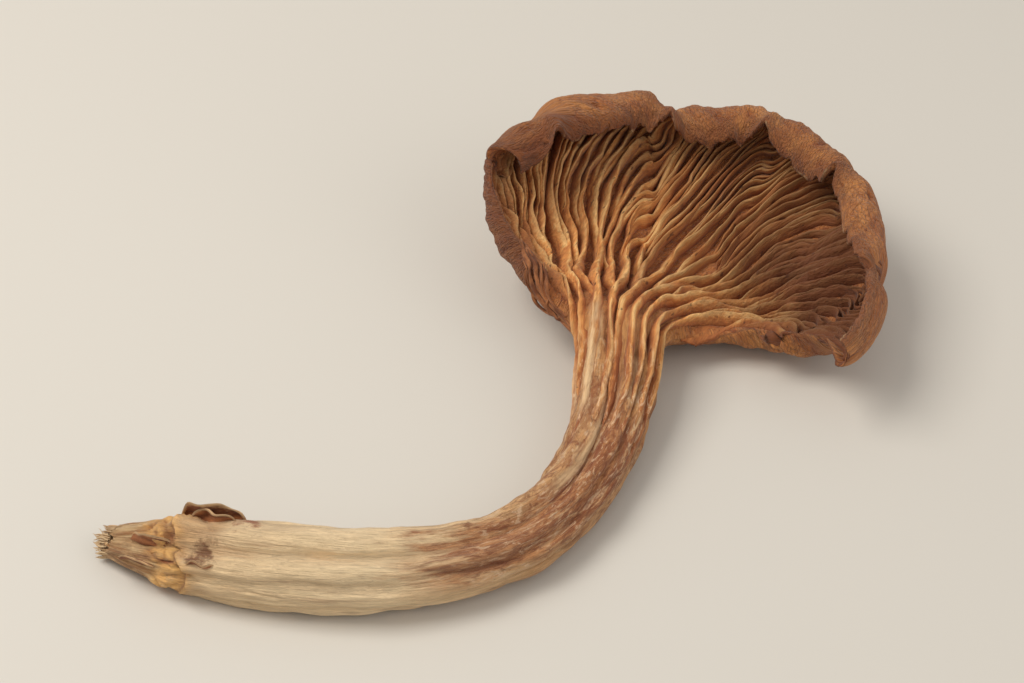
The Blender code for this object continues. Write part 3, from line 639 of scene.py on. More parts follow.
def torn_folds(s, turn):
    """The folds that cross on the torn edge: 0 in a groove, 1 on top."""
    round_it, folds = STEM_GRAIN_RADIUS * turn, 0.0
    for share, over, width, along, length, seed, sharp in TORN_FOLD_SETS:
        first = (over[0] * round_it + over[1] * s) / width
        second = (along[0] * round_it + along[1] * s) / length
        folds = folds + share * cords(first, second, 0.0 * s, seed, sharp)
    return folds


def stem_relief(s, a, side):
    """How far furrows and folds lift the stem's skin, and how far up the side of one a place is."""
    turn = turn_of(a, side)
    wander = round_noise(turn, s, STEM_WANDER)
    ridges = [round_cords(turn, s, wander, hills, length, STEM_CORDS_SEED + n)
              for n, (hills, length, _) in enumerate(STEM_CORDS)]
    lift = sum(height * (ridge - CORD_MEAN) for ridge, (_, _, height) in zip(ridges, STEM_CORDS))
    lift = lift * (1.0 + NECK_DEEPER * smooth(s, *NECK_DEEPENS)) + round_noise(turn, s, STEM_BUMPS)
    in_bend = smooth(-a, *CREASED_ACROSS) * smooth(s, *CREASED_FROM) * (1.0 - smooth(s, *CREASED_TO))
    lift = lift + in_bend * round_noise(turn, s, BEND_CREASES)
    core, fold, lip = torn_skin(s, a, side)
    core_fibres = round_cords(turn, s, wander, *CORE_CORDS) - CORE_FIBRES_MEAN
    lift = lift * (1.0 - CORE_CALMS * core) - CORE_LOWER * core + CORE_FIBRES * core * core_fibres
    folds = torn_folds(s, turn)
    lift = lift + TORN_FOLDS * fold * (folds - TORN_FOLDS_MEAN) + LIP_HEIGHT * lip * (1.0 - core)
    top = sum(share * ridge for share, ridge in zip(FURROW_SHARES, ridges))
    return lift, top + (folds - top) * fold


def cap_relief(side, q, flat):
    """How far wrinkles lift the skin of the cap's two sides, and how far up the side of one a place is."""
    net, fine_net, between = cap_cords(flat, *NET), cap_cords(flat, *FINE_NET), cap_cords(flat, *BETWEEN)
    swell = SWELL_HEIGHT * cap_noise(flat, *SWELL)
    creases = CREASES_HEIGHT * (cap_cords(flat, *CREASES) - CORD_MEAN) * (1.0 - smooth(q, *CREASES_FADE))
    folds = FOLD_HEIGHT * (cap_cords(flat, *FOLDS) - CORD_MEAN) * smooth(q, *FOLDS_FROM)
    pits = smooth(cap_noise(flat, *PITS), *PITS_RISE)
    nets = NET_HEIGHT * (net - CORD_MEAN) + FINE_NET_HEIGHT * (fine_net - CORD_MEAN)
    back = nets + swell + creases + folds - PIT_DEPTH * pits
    front = BETWEEN_HEIGHT * (between - CORD_MEAN) + FRONT_SWELLS * swell
    back_top = (NET_SHARE * net + (1.0 - NET_SHARE) * fine_net) * (1.0 - pits)
    return np.where(side > 0, front, back), np.where(side > 0, between, back_top)


def skin_relief(s, a, side, q, flat):
    """How far the skin is lifted, and how deep in a groove a place is, from 0 to 1 on top."""
    stem, stem_top = stem_relief(s, a, side)
    cap, cap_top = cap_relief(side, q, flat)
    to_cap = smooth(s, *CAP_SKIN)
    edge = smooth(1.0 - q, 0.0, RIM_CALM)
    return stem + (cap * edge - stem) * to_cap, stem_top + (cap_top - stem_top) * to_cap


def in_box(points):
    """The points moved to where the solid is, with nothing under the surface."""
    points = points + OFFSET
    points[:, 2] = np.maximum(points[:, 2], 0.0)
    return points


def columns(count):
    """Places across one side from edge to edge, closer together at the edges."""
    t = np.linspace(-1.0, 1.0, count + 1)
    return np.sign(t) * (1.0 - (1.0 - np.abs(t)) ** EDGE_CLOSER)


def skin_rings():
    """The skin's rings from the cut end to the margin: where each is, its places across, their sides, and how
    far round the ring they are."""
    made = []
    marks = np.concatenate([[-STEM_LENGTH], BLOCK_ENDS, [MEAN_REACH]])
    for start, end, (step, front, back) in zip(marks, marks[1:], BLOCKS):
        over, under = columns(front), columns(back)[-2:0:-1]
        a = np.concatenate([over, under])
        side = np.concatenate([np.ones(len(over)), -np.ones(len(under))])
        at = np.concatenate([(over + 1) / 2, 1 + (1 - under) / 2])
        last = end == MEAN_REACH
        count = int(round((end - start) / step)) + last
        for s in np.linspace(start, end, count, endpoint=last):
            made.append((s, a, side, at))
    return made


def zipped(first, first_at, second, second_at):
    """Triangles between two rows of points, matched by how far along its row each point is."""
    made, i, j = [], 0, 0
    while i < len(first) - 1 or j < len(second) - 1:
        if j == len(second) - 1 or (i < len(first) - 1 and first_at[i + 1] <= second_at[j + 1]):
            made.append((first[i], first[i + 1], second[j]))
            i += 1
        else:
            made.append((first[i], second[j + 1], second[j]))
            j += 1
    return made


def joined(first, second):
    """Four-sided faces between two closed rows of as many points."""
    return np.stack([first[:-1], first[1:], second[1:], second[:-1]], axis=1).tolist()


def ragged(s, a, side):
    """The places along the mushroom with its margin and its cut end made uneven."""
    teeth = sum(height * noise(count * a, 0.0 * a, 0.0 * a, seed) for count, height, seed in MARGIN_TEETH)
    margin = (teeth - MARGIN_BACK) * smooth(s / MEAN_REACH, *MARGIN_TORN)
    shreds = END_BACK + sum(round_noise(turn_of(a, side), s, row) for row in END_SHREDS)
    return s + margin + shreds * (1.0 - smooth(s, -STEM_LENGTH, -STEM_LENGTH + END_TORN))


def new_piece(name, points, faces, material, values):
    """A mesh piece that stands for the solid, with its numbers for the material stored on its points."""
    mesh = bpy.data.meshes.new(name)
    mesh.from_pydata((points * MM).tolist(), [], faces)
    for key, value in values.items():
        kind, field = ("FLOAT_VECTOR", "vector") if value.ndim > 1 else ("FLOAT", "value")
        mesh.attributes.new(key, kind, "POINT").data.foreach_set(field, value.astype(np.float32).ravel())
    mesh.materials.append(material)
    mesh.shade_smooth()
    piece = bpy.data.objects.new(name, mesh)
    bpy.context.scene.collection.objects.link(piece)
    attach(piece, "root")
    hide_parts(NODE)


def normals_of(points, faces):
    """The ways out of a mesh at its points."""
    mesh = bpy.data.meshes.new("for_normals")
    mesh.from_pydata(points.tolist(), [], faces)
    found = np.empty(3 * len(points), np.float32)
    mesh.vertex_normals.foreach_get("vector", found)
    bpy.data.meshes.remove(mesh)
    return found.reshape(-1, 3).astype(float)


def make_skin(material):
    """The whole outside: stem, cap, rolled margin and cut end, as one closed mesh."""
    rings = skin_rings()
    s = np.concatenate([np.full(len(a), s) for s, a, _, _ in rings])
    a = np.concatenate([ring[1] for ring in rings])
    side = np.concatenate([ring[2] for ring in rings])
    plain, q, turned = skin_point(ragged(s, a, side), a, side)
    starts = np.cumsum([0] + [len(ring[1]) for ring in rings])
    rows = [np.append(np.arange(low, high), low) for low, high in zip(starts, starts[1:])]
    ats = [np.append(ring[3], 2.0) for ring in rings]
    faces = []
    for n in range(1, len(rows)):
        if len(rows[n]) == len(rows[n - 1]):
            faces += joined(rows[n - 1], rows[n])
        else:
            faces += zipped(rows[n - 1], ats[n - 1], rows[n], ats[n])
    margin, at = rows[-1], ats[-1]
    front = int((rings[-1][2] > 0).sum())
    faces += zipped(margin[:front], at[:front], margin[front - 1:][::-1], 2.0 - at[front - 1:][::-1])
    cut = rows[0]
    centre = plain[cut[:-1]].mean(0)
    inward = RECESS * stem_frame(np.array([-STEM_LENGTH]))[3]
    inner = centre + RECESS_NARROWER * (plain[cut[:-1]] - centre) + inward
    first = len(plain)
    inner_row = np.append(np.arange(first, first + len(inner)), first)
    faces += joined(inner_row, cut)
    plain = np.concatenate([plain, inner, centre + 2.0 * inward])
    faces += [(j, i, len(plain) - 1) for i, j in zip(inner_row, inner_row[1:])]
    extra = np.append(cut[:-1], cut[0])
    s, a, side, q, turned = (np.append(v, v[extra]) for v in (s, a, side, q, turned))

    flat = laid_flat(s, a, side)
    lift, top = skin_relief(s, a, side, q, flat)
    core, fold, lip = torn_skin(s, a, side)
    points = plain + normals_of(plain, faces) * lift[:, None]
    values = {
        "fibre": flat,
        "along": (s + STEM_LENGTH) / (STEM_LENGTH + MEAN_REACH),
        "top": top,
        "gill_side": (side > 0) * smooth(s, *GILL_SIDE) * (1.0 - smooth(turned, *GILL_SIDE_TURNS)),
        "cap": smooth(s, *CAP_SKIN),
        "rim": smooth(q, *RIM_LOOK),
        "across": a,
        "front": np.where(side > 0, 1.0, 0.0),
        "core": core,
        "fold": fold,
        "lip": lip,
    }
    new_piece("mushroom_skin", in_box(points), faces, material, values)


def gill_list():
    """Each gill: its place across, the share of the way out where it starts, the place across of the gill it
    branches from, its height share, and whether it is one of the solid's ridges."""
    chance = np.random.default_rng(GILL_SEED)
    gills, count = [], TO_A_RIDGE * GILLS
    for n in range(1, count):
        place, pitch = -1.0 + 2.0 * n / count, 2.0 / count
        leftness = float(1.0 - smooth(place, *LEFT_TO_RIGHT))
        left_or_right = chance.choice([-1.0, 1.0])
        ridge, step = divmod(n, TO_A_RIDGE)
        on_ridge = step == TO_A_RIDGE // 2
        if on_ridge:
            rank = ridge % len(GILL_STARTS)
            start, parent = GILL_STARTS[rank], RIDGE_PARENTS[rank] * TO_A_RIDGE
            tall = chance.uniform(*RIDGE_TALL)
        elif step == 0:
            start = chance.uniform(*SECOND_STARTS) + LEFT_LATER * leftness
            parent, tall = 2.0 * left_or_right, chance.uniform(*SECOND_TALL)
        else:
            start, parent = chance.uniform(*THIRD_STARTS), 1.0 * left_or_right
            tall = chance.uniform(*THIRD_TALL)
            if chance.random() < RIGHT_SPARES + (LEFT_SPARES - RIGHT_SPARES) * leftness:
                continue
        gills.append((place, start, place + parent * pitch, tall, on_ridge))
    return gills


def gill_lines(gills, seed):
    """Numbers along each gill: s, how far from its two ends, and what is the same all along it: its place,
    its parent's, its start, its height share, its own number and a random one for its colour."""
    chance = np.random.default_rng(seed)
    lines = []
    for number, (place, start, parent, tall, _) in enumerate(gills):
        first = start * MEAN_REACH if start > 0.0 else -chance.uniform(*STEM_GILL_ENDS)
        last = GILLS_END * MEAN_REACH
        s = np.linspace(first, last, int((last - first) / GILL_STEP))
        same = (place, parent, max(start, 0.0), tall, number + 0.5 * seed, chance.random())
        lines.append(np.stack([s, s - first, last - s] + [value * np.ones_like(s) for value in same]))
    return lines


def merged(s, place):
    """How far gills are drawn across where neighbouring ridges run together, as a share of their pitch."""
    ridge = (place + 1.0) / 2.0 * GILLS - 0.5
    low = np.floor(ridge)

    def pull(number):
        return smooth(noise(MERGE_STEP * number, s / MERGE_LENGTH, 0.0 * s, MERGE_SEED), *MERGE_RISE)

    here, left, right = pull(low), pull(low - 1.0), pull(low + 1.0)
    return MERGE * ((here - left) + (right - 2.0 * here + left) * (ridge - low))


def shared_noise(x, s, number, rows):
    """Unevenness that neighbouring gills share."""
    return sum(size * noise(x / wide, s / length, number * step, seed)
               for size, wide, length, step, seed in rows)


def own_noise(number, s, rows):
    """Unevenness that each gill has on its own."""
    return sum(size * noise(number * step, s / length, 0 * s, seed) for size, step, length, seed in rows)


def gill_frame(s, a):
    """The skin under a gill: its point, right and way out, millimetres to a unit of a, q, and its turn."""
    point, q, turned = skin_point(s, a, 1)
    step = ACROSS_STEP
    to_right = (skin_point(s, a + step, 1)[0] - skin_point(s, a - step, 1)[0]) / (2 * step)
    forward = unit(skin_point(s + SLOPE_STEP, a, 1)[0] - skin_point(s - SLOPE_STEP, a, 1)[0])
    out = unit(np.cross(to_right, forward))
    return point, np.cross(forward, out), out, np.linalg.norm(to_right, axis=-1), q, turned


def gill_paths(s, place, parent, start, number):
    """Where gills run: drawn to their parents where they start, then the same with waves and merging, and the
    millimetres across of the first."""
    q = np.clip(s / MEAN_REACH, 0.0, 1.0)
    joining = np.where(start > 0.0, 1.0 - smooth(q, start, start + JOINS_OVER), 0.0)
    place = place + (parent - place) * JOINS * joining
    metric = gill_frame(s, place)[3]
    x = laid_flat(s, place, np.ones_like(s))[:, 0]
    at_edge = smooth(1.0 - np.abs(place), 0.0, CALM_EDGE)
    waves = shared_noise(x, s, number, TOGETHER) + own_noise(number, s, ALONE)
    waves = waves * from_low(NECK_WAVES, smooth(s, *WAVES_GROW)) * at_edge / metric
    closing = merged(s, place) * 2.0 / GILLS * at_edge * smooth(s, *MERGES_ALONG)
    return place, place + waves + closing * (1.0 - OUTER_PARTS * smooth(q, *OUTER_PART)), x


def gill_halves(s, q, place, number, metric, all_gills):
    """Half the thickness of gills, from the pitch that those around leave them."""
    starts, places = np.array([gill[1] for gill in all_gills]), np.array([gill[0] for gill in all_gills])
    grown = np.where(starts > 0.0, smooth(q[:, None], starts + GROWN[0], starts + GROWN[1]), 1.0)
    nearby = np.exp(-(((places - place[:, None]) / NEARBY) ** 2))
    pitch = metric * NEARBY * math.sqrt(math.pi) / (grown * nearby).sum(1)
    cap_thick = LEFT_THICK + (RIGHT_THICK - LEFT_THICK) * smooth(place, *RIGHT_PART)
    half = 0.5 * pitch * (NECK_THICK + (cap_thick - NECK_THICK) * smooth(q, *CAP_THICK_FROM))
    return np.clip(half * (1.0 + own_noise(number, s, THICK_UNEVEN)), *HALF_THICK)


def gill_heights(s, a, q, turned, place, start, tall, number):
    """How high gills stand, less where the skin under them is hollow along them."""
    height = from_low(NECK_GILL_SHARE, smooth(q, 0.0, GILL_STARTS[1]))
    height = height * smooth(s, *GILLS_RISE) * (1.0 - smooth(q, RIM_SINKS_FROM, 1.0))
    height = height * (1.0 - SUNK * smooth(turned, *SINK_TURNS)) * smooth(1.0 - np.abs(a), *EDGE_LOW)
    height = height * (1.0 + own_noise(number, s, HIGH_UNEVEN))
    grows = from_low(NEW_GILL_SHARE, smooth(q, start, start + GILL_GROWS_OVER))
    height = GILL_HEIGHT * height * np.where(start > 0.0, grows, 1.0) * tall
    height = height * (1.0 - RIGHT_LOWER * smooth(place, *RIGHT_PART) * smooth(q, *RIGHT_LOWER_FROM))
    behind, ahead = gill_frame(s - HOLLOW_STEP, a), gill_frame(s + HOLLOW_STEP, a)
    way = ahead[0] - behind[0]
    hollow = -((ahead[2] - behind[2]) * way).sum(-1) / np.maximum((way * way).sum(-1), TINY)
    return height / np.sqrt(1.0 + (height * np.maximum(hollow, 0.0) / HOLLOW_SHARE) ** 2)


def ring_faces(lengths, count):
    """Faces of closed blades or strands: how many rings each of them has, and how many points a ring."""
    faces, row = [], 0
    for length in lengths:
        for low in range(row * count, (row + length - 1) * count, count):
            for j in range(count):
                after = low + (j + 1) % count
                faces.append((low + j, after, after + count, low + j + count))
        faces.append(tuple(range(row * count, (row + 1) * count))[::-1])
        row += length
        faces.append(tuple(range((row - 1) * count, row * count)))
    return faces


def make_gills(name, gills, all_gills, material, seed, section):
    """Thin wavy blades that stand on the front skin, each one a closed strip with its root in the flesh."""
    lines = gill_lines(gills, seed)
    s, from_start, to_end, place, parent, start, tall, number, strand = np.concatenate(lines, axis=1)
    place, a, x = gill_paths(s, place, parent, start, number)
    point, right, out, metric, q, turned = gill_frame(s, a)
    half = gill_halves(s, q, place, number, metric, all_gills)
    height = gill_heights(s, a, q, turned, place, start, tall, number)
    ends = smooth(from_start, 0.0, ENDS_OVER) * smooth(to_end, 0.0, ENDS_OVER)
    height, half = height * ends, half * from_low(ENDS_THICK, ends)
    waves = shared_noise(x, s, number, CREST_WAVES) + own_noise(number, s, CREST_TREMBLES)
    shift = waves * smooth(height, *CREST_WAVES_FROM) + shared_noise(x, s, number, LEAN) * height

    over = np.linspace(-1.0, 1.0, section - 2)
    across = np.concatenate([[-ROOT_WIDE], over, [ROOT_WIDE]])
    crest = from_low(FOOT_SHARE, (1.0 - np.abs(over) ** SECTION_POWER) ** CREST_POWER)
    share = np.concatenate([[0.0], crest, [0.0]])
    s_row, half_row, number_row = s[:, None], half[:, None], number[:, None]
    rough = noise(number_row + ROUGH_ACROSS * across, s_row / ROUGH_LENGTH, ROUGH_UP * share, ROUGH_SEED)
    sideways = across * half_row * (1.0 + ROUGH * rough) + shift[:, None] * share**LEAN_POWER
    ridges = cords(STRANDS * across * half_row + STRAND_STEP * number_row, s_row / STRAND_LENGTH, 0.0,
                   STRAND_SEED, STRAND_SHARPNESS)
    strands = STRAND_HEIGHT * (ridges - STRAND_MEAN) * share * np.minimum(height, 1.0)[:, None]
    root = np.clip(ROOT_SHARE * flesh(q, a), *GILL_ROOT)[:, None] + 0.0 * strands
    upward = np.where(share > 0.0, share * height[:, None] + strands, -root)
    rings = point[:, None, :] + right[:, None, :] * sideways[..., None] + out[:, None, :] * upward[..., None]

    def spread(values):
        return np.repeat(values, section)

    shows = share * from_low(STRANDS_SHOW, ridges) * from_low(LOW_SHOWS, smooth(height, *LOW_BLADES))[:, None]
    values = {
        "fibre": np.stack([spread(x) + sideways.ravel(), upward.ravel(), spread(s)], axis=-1),
        "along": spread((s + STEM_LENGTH) / (STEM_LENGTH + MEAN_REACH)),
        "crest": shows.ravel(),
        "strand": spread(strand),
        "across": spread(a),
    }
    faces = ring_faces([line.shape[1] for line in lines], section)
    new_piece(name, in_box(rings.reshape(-1, 3)), faces, material, values)


def shell(grid, thickness):
    """A closed thin sheet from a grid of points: its points and its faces."""
    rows, cols = grid.shape[:2]
    along, over = np.gradient(grid, axis=0), np.gradient(grid, axis=1)
    out = unit(np.cross(along, over)) * (0.5 * thickness)[..., None]
    points = np.concatenate([(grid + out).reshape(-1, 3), (grid - out).reshape(-1, 3)])
    index = np.arange(rows * cols).reshape(rows, cols)
    faces = []
    for i in range(rows - 1):
        for j in range(cols - 1):
            quad = (index[i, j], index[i + 1, j], index[i + 1, j + 1], index[i, j + 1])
            faces.append(quad)
            faces.append(tuple(k + rows * cols for k in quad[::-1]))
    loop = [*index[:, 0], *index[-1, 1:], *index[:-1, -1][::-1], *index[0, 1:-1][::-1]]
    for first, second in zip(loop, loop[1:] + loop[:1]):
        faces.append((second, first, first + rows * cols, second + rows * cols))
    return points, faces


def torn_strip(start, length, turn, width, lifts, curls, thickness, seed):
    """A strip of skin that has come loose from the stem along one line and curls away from it: its points,
    its faces, its grain, and how far each point is from that line."""
    shares = np.linspace(0.0, 1.0, STRIP_ROWS), np.linspace(0.0, 1.0, STRIP_COLUMNS)
    u, v = np.meshgrid(*shares, indexing="ij")
    s = start + length * u
    angle = np.radians(turn) + line_noise(u, STRIP_BENDS, seed)
    hinge = stem_point(s, (90.0 - np.degrees(angle)) / 90.0, np.ones_like(u))
    _, right, front, _ = stem_frame(s)
    cosine, sine = np.cos(angle)[..., None], np.sin(angle)[..., None]
    way = unit(right * cosine + front * STEM_FLATNESS * sine)
    round_it = unit(-right * sine + front * cosine)
    wide = width * (1.0 - (2.0 * u - 1.0) ** STRIP_BLUNT)
    wide = wide * (1.0 + line_noise(u, STRIP_WIDENS, seed)) + STRIP_LEAST
    twist, along, over, more = STRIP_TWISTS
    tilt = np.radians(lifts) + np.radians(curls) * v + twist * noise(along * u, over * v, 0 * u, seed + more)
    step = (wide / (STRIP_COLUMNS - 1))[..., None] * (
        round_it * np.cos(tilt)[..., None] + way * np.sin(tilt)[..., None])
    step[:, 0] = 0.0
    grid = hinge - way * STRIP_SUNK + np.cumsum(step, axis=1)
    points, faces = shell(grid, thickness * (1.0 - STRIP_THINS * v))
    grain = np.stack([wide * v, 0 * u, s], axis=-1).reshape(-1, 3)
    under = grain + [0.0, CAP_FLESH, 0.0]
    return points, faces, np.concatenate([grain, under]), np.tile(v.ravel(), 2)


def round_strand(line, size, first, second, grain_step, grain_shift, grain_along, free):
    """A closed round strand along a line, whose section spans two directions: its points, its faces, its
    grain, and how free each point is."""
    ring = np.arange(STRAND_SIDES) * math.tau / STRAND_SIDES
    first, second = np.broadcast_to(first, line.shape), np.broadcast_to(second, line.shape)
    section = first[:, None] * np.cos(ring)[None, :, None] + second[:, None] * np.sin(ring)[None, :, None]
    points = line[:, None] + size[:, None, None] * section
    around = np.tile(np.arange(STRAND_SIDES), len(line))
    along = np.repeat(grain_along, STRAND_SIDES)
    grain = np.stack([grain_step * around, grain_shift + 0.0 * around, along], axis=-1)
    return points.reshape(-1, 3), ring_faces([len(line)], STRAND_SIDES), grain, np.repeat(free, STRAND_SIDES)


def torn_fibre(turn, share, length, radius, splay, seed):
    """A blunt uneven fibre that sticks out of the cut end."""
    centre, right, front, forward = (v[0] for v in stem_frame(np.array([-STEM_LENGTH])))
    way = right * np.cos(turn) + front * (STEM_FLATNESS * np.sin(turn))
    across = np.cross(way, forward)
    root = centre + way * (share * STEM_HALF_WIDTHS[0]) + forward * FIBRE_ROOT
    t = np.linspace(0.0, 1.0, FIBRE_POINTS)
    line = root - forward * (t * (length + FIBRE_ROOT))[:, None] + way * (splay * t**2 * length)[:, None]
    line = line + across * (length * line_noise(t, FIBRE_BENDS, seed))[:, None]
    blunt, sharply = FIBRE_BLUNT
    size = radius * (1.0 - FIBRE_TAPERS * t) * (1.0 - blunt * t**sharply)
    size = size * (1.0 + line_noise(t, FIBRE_THICKENS, seed)) + FIBRE_LEAST
    return round_strand(line, size, way, across, radius, 0.0, t * length, t)


def edge_strand(chance, number):
    """A torn strand that runs beside the cap's left edge from the cap down to the neck."""
    t = np.linspace(0.0, 1.0, EDGE_STRAND_POINTS)
    first, last = chance.uniform(*STRAND_STARTS), chance.uniform(*STRAND_ENDS)
    s = first + (last - first) * t
    a = -1.0 + chance.uniform(0.0, STRAND_INSIDE) + 0.0 * t
    point, right, out = gill_frame(s, a)[:3]
    arch = np.sin(math.pi * t)
    away = chance.uniform(*STRAND_OFF) * arch**STRAND_OFF_POWER * (1.0 + line_noise(t, STRAND_SWINGS, number))
    height = line_noise(t, STRAND_RISES, number) - chance.uniform(0.0, STRAND_SAG) * arch
    line = point - right * away[:, None] + out * height[:, None]
    size = chance.uniform(*STRAND_RADIUS) * (1.0 + line_noise(t, STRAND_THICKENS, number))
    shift, free = STRAND_GRAIN_SHIFT * number, STRAND_FREE + 0.0 * t
    return round_strand(line, size, right, out, STRAND_GRAIN, shift, s, free)


def make_torn_parts(name, parts, strips, material):
    """One piece of several torn parts. The first ones are strips of skin, and the others are pale fibres."""
    starts = np.cumsum([0] + [len(part[0]) for part in parts])
    faces = [tuple(int(i + start) for i in face) for part, start in zip(parts, starts) for face in part[1]]
    points, grain, free = (np.concatenate([part[k] for part in parts]) for k in (0, 2, 3))
    of_skin = np.where(np.arange(len(points)) < starts[strips], 1.0, 0.0)
    new_piece(name, in_box(points), faces, material, {"fibre": grain, "free": free, "strip": of_skin})


def make_torn_end(material):
    """Loose strips and fibres at the end where the stem was torn off."""
    parts = [torn_strip(*row) for row in TORN_STRIPS]
    chance = np.random.default_rng(FIBRES_SEED)
    for n in range(TORN_FIBRES):
        turn, out, length = chance.uniform(0.0, math.tau), chance.uniform(*FIBRE_OUT), chance.random() ** 2
        radius, splay = chance.uniform(*FIBRE_RADIUS), chance.uniform(*FIBRE_SPLAY)
        parts.append(torn_fibre(turn, out, length, radius, splay, FIBRE_SEED + n))
    make_torn_parts("torn_end", parts, len(TORN_STRIPS), material)


def make_edge_strands(material):
    """Torn strands beside the cap's left edge."""
    chance = np.random.default_rng(EDGE_STRANDS_SEED)
    parts = [edge_strand(chance, EDGE_STRAND_SEED + n) for n in range(EDGE_STRANDS)]
    make_torn_parts("edge_strands", parts, len(parts), material)


class Look:
    """One material, with short names for the nodes that build it up."""

    def __init__(self, name):
        self.material = bpy.data.materials.new(name)
        self.material.use_nodes = True
        self.tree = self.material.node_tree
        self.shader = self.tree.nodes["Principled BSDF"]

    def add(self, kind, inputs=(), **settings):
        node = self.tree.nodes.new("ShaderNode" + kind)
        for key, value in settings.items():
            setattr(node, key, value)
        for key, value in dict(inputs).items():
            self.put(node.inputs[key], value)
        return node

    def put(self, socket, value):
        if isinstance(value, bpy.types.NodeSocket):
            self.tree.links.new(value, socket)
        else:
            socket.default_value = value

    def number(self, name):
        return self.add("Attribute", attribute_name=name).outputs["Fac"]

    def vector(self, operation, first, second):
        return self.add("VectorMath", {0: first, 1: second}, operation=operation).outputs

    def grain(self, stretch=(1.0, 1.0, 1.0)):
        """Places in millimetres along the fibres, stretched three ways."""
        place = self.add("Attribute", attribute_name="fibre").outputs["Vector"]
        return self.vector("MULTIPLY", place, stretch)[0]

    def spots(self, stretch, kind):
        detail, roughness, distortion = kind
        inputs = {"Vector": self.grain(stretch), "Scale": 1.0, "Detail": detail, "Roughness": roughness,
                  "Distortion": distortion}
        return self.add("TexNoise", inputs).outputs[0]

    def pattern(self, name):
        """A row of the patterns, drawn out."""
        stretch, kind, read, become = PATTERNS[name]
        return self.spread(self.spots(stretch, kind), *read, *become)

    def net(self, name):
        """Distance to the nearest line of an uneven net, drawn out."""
        stretch, wander, read, become = NETS[name]
        place = self.grain(stretch)
        uneven = self.add("TexNoise", {"Vector": place, **NET_WANDER}).outputs[1]
        shift = self.vector("MULTIPLY", self.vector("SUBTRACT", uneven, (0.5,) * 3)[0], (wander,) * 3)[0]
        inputs = {"Vector": self.vector("ADD", place, shift)[0], "Scale": 1.0}
        away = self.add("TexVoronoi", inputs, feature="DISTANCE_TO_EDGE").outputs[0]
        return self.spread(away, *read, *become)

    def relief(self, name, where=1.0):
        """The height of a fine relief, where it is to be."""
        stretch, kind, height = RELIEFS[name]
        return self.product(self.spots(stretch, kind), where, height)

    def inside(self, value, low, high, blur):
        """1 where the value lies between low and high, and 0 outside, with a soft step."""
        return self.product(self.spread(value, low - blur, low + blur),
                            self.spread(value, high - blur, high + blur, *DOWN))

    def near(self, place, size):
        """1 at one place of the grain, and 0 beyond a blotchy edge about this far from it."""
        away = self.vector("DISTANCE", self.grain(), place)["Value"]
        blotchy = self.sum(away, self.product(self.pattern("stain_edge"), size))
        return self.spread(blotchy, STAIN_FADES[0] * size, STAIN_FADES[1] * size, *DOWN)

    def spread(self, value, low, high, to_low=0.0, to_high=1.0):
        """The value's stretch from low to high drawn out to another stretch, and clamped there."""
        inputs = {0: value, 1: low, 2: high, 3: to_low, 4: to_high}
        return self.add("MapRange", inputs).outputs[0]

    def sum(self, first, second):
        return self.add("Math", {0: first, 1: second}, operation="ADD").outputs[0]

    def product(self, first, *others):
        for other in others:
            first = self.add("Math", {0: first, 1: other}, operation="MULTIPLY").outputs[0]
        return first

    def flipped(self, value):
        return self.add("Math", {0: 1.0, 1: value}, operation="SUBTRACT").outputs[0]

    def mix(self, share, first, second, blend="MIX"):
        """The first colour with a share of the second. They are the node's inputs 6 and 7."""
        inputs = {0: share, 6: first, 7: second}
        return self.add("Mix", inputs, data_type="RGBA", blend_type=blend).outputs[2]

    def over(self, colour, where, share, paint):
        """The colour with a paint laid over it, where it is to be and as strong as its share."""
        return self.mix(self.product(where, share), colour, paint)

    def painted(self, colour, name, *where):
        """The colour with the paint of a pattern laid over it, where it is to be."""
        return self.over(colour, self.product(self.pattern(name), *where), *PAINTS[name])

    def tinted(self, colour, name):
        """The colour made darker and lighter by a pattern."""
        return self.mix(1.0, colour, self.pattern(name), "MULTIPLY")

    def ramp(self, value, stops):
        node = self.add("ValToRGB", {0: value})
        stretch = node.color_ramp.elements
        while len(stretch) < len(stops):
            stretch.new(1.0)
        for element, (place, colour) in zip(stretch, stops):
            element.position = place
            element.color = colour
        return node.outputs[0]

    def curve(self, value, stops):
        """A share that follows the value from stop to stop."""
        return self.ramp(value, [(place, (share, share, share, 1.0)) for place, share in stops])

    def finish(self, colour, roughness, heights):
        """Joins up the shader. heights are values in metres to add up for the bump."""
        self.put(self.shader.inputs["Base Color"], colour)
        self.put(self.shader.inputs["Roughness"], roughness)
        self.shader.inputs["Specular IOR Level"].default_value = SPECULAR
        self.shader.inputs["Sheen Weight"].default_value = SHEEN
        self.shader.inputs["Sheen Roughness"].default_value = SHEEN_ROUGHNESS
        total = heights[0]
        for height in heights[1:]:
            total = self.sum(total, height)
        bump = self.add("Bump", {"Strength": 1.0, "Distance": 1.0, "Height": total})
        self.put(self.shader.inputs["Normal"], bump.outputs[0])
        return self.material


def stem_marks(look, colour, front):
    """Adds the upper stem's blotches, flecks, thin net and pale strips, on its skin and its ridges."""
    along, across = look.number("along"), look.sum(look.number("across"), look.pattern("strip_wander"))
    upper, bend = look.inside(along, *BLOTCHES_ALONG), look.inside(along, *FLECKS_ALONG)
    for name in ("pale_blotches", "red_blotches"):
        colour = look.painted(colour, name, upper)
    for name in ("rusty_flecks", "pale_flecks"):
        colour = look.painted(colour, name, bend, front)
    netted = look.product(look.net("stem_net"), look.pattern("net_breaks"), look.inside(along, *NET_ALONG))
    colour = look.over(colour, netted, *STEM_NET)
    streaks = look.product(look.pattern("strip_streaks"), front)
    for low, high, start, end, share in PALE_STRIPS:
        there = look.product(look.inside(across, low, high, STRIP_BLUR_ACROSS),
                             look.inside(along, start, end, STRIP_BLUR_ALONG), streaks)
        colour = look.over(colour, there, share, PALE)
    return colour


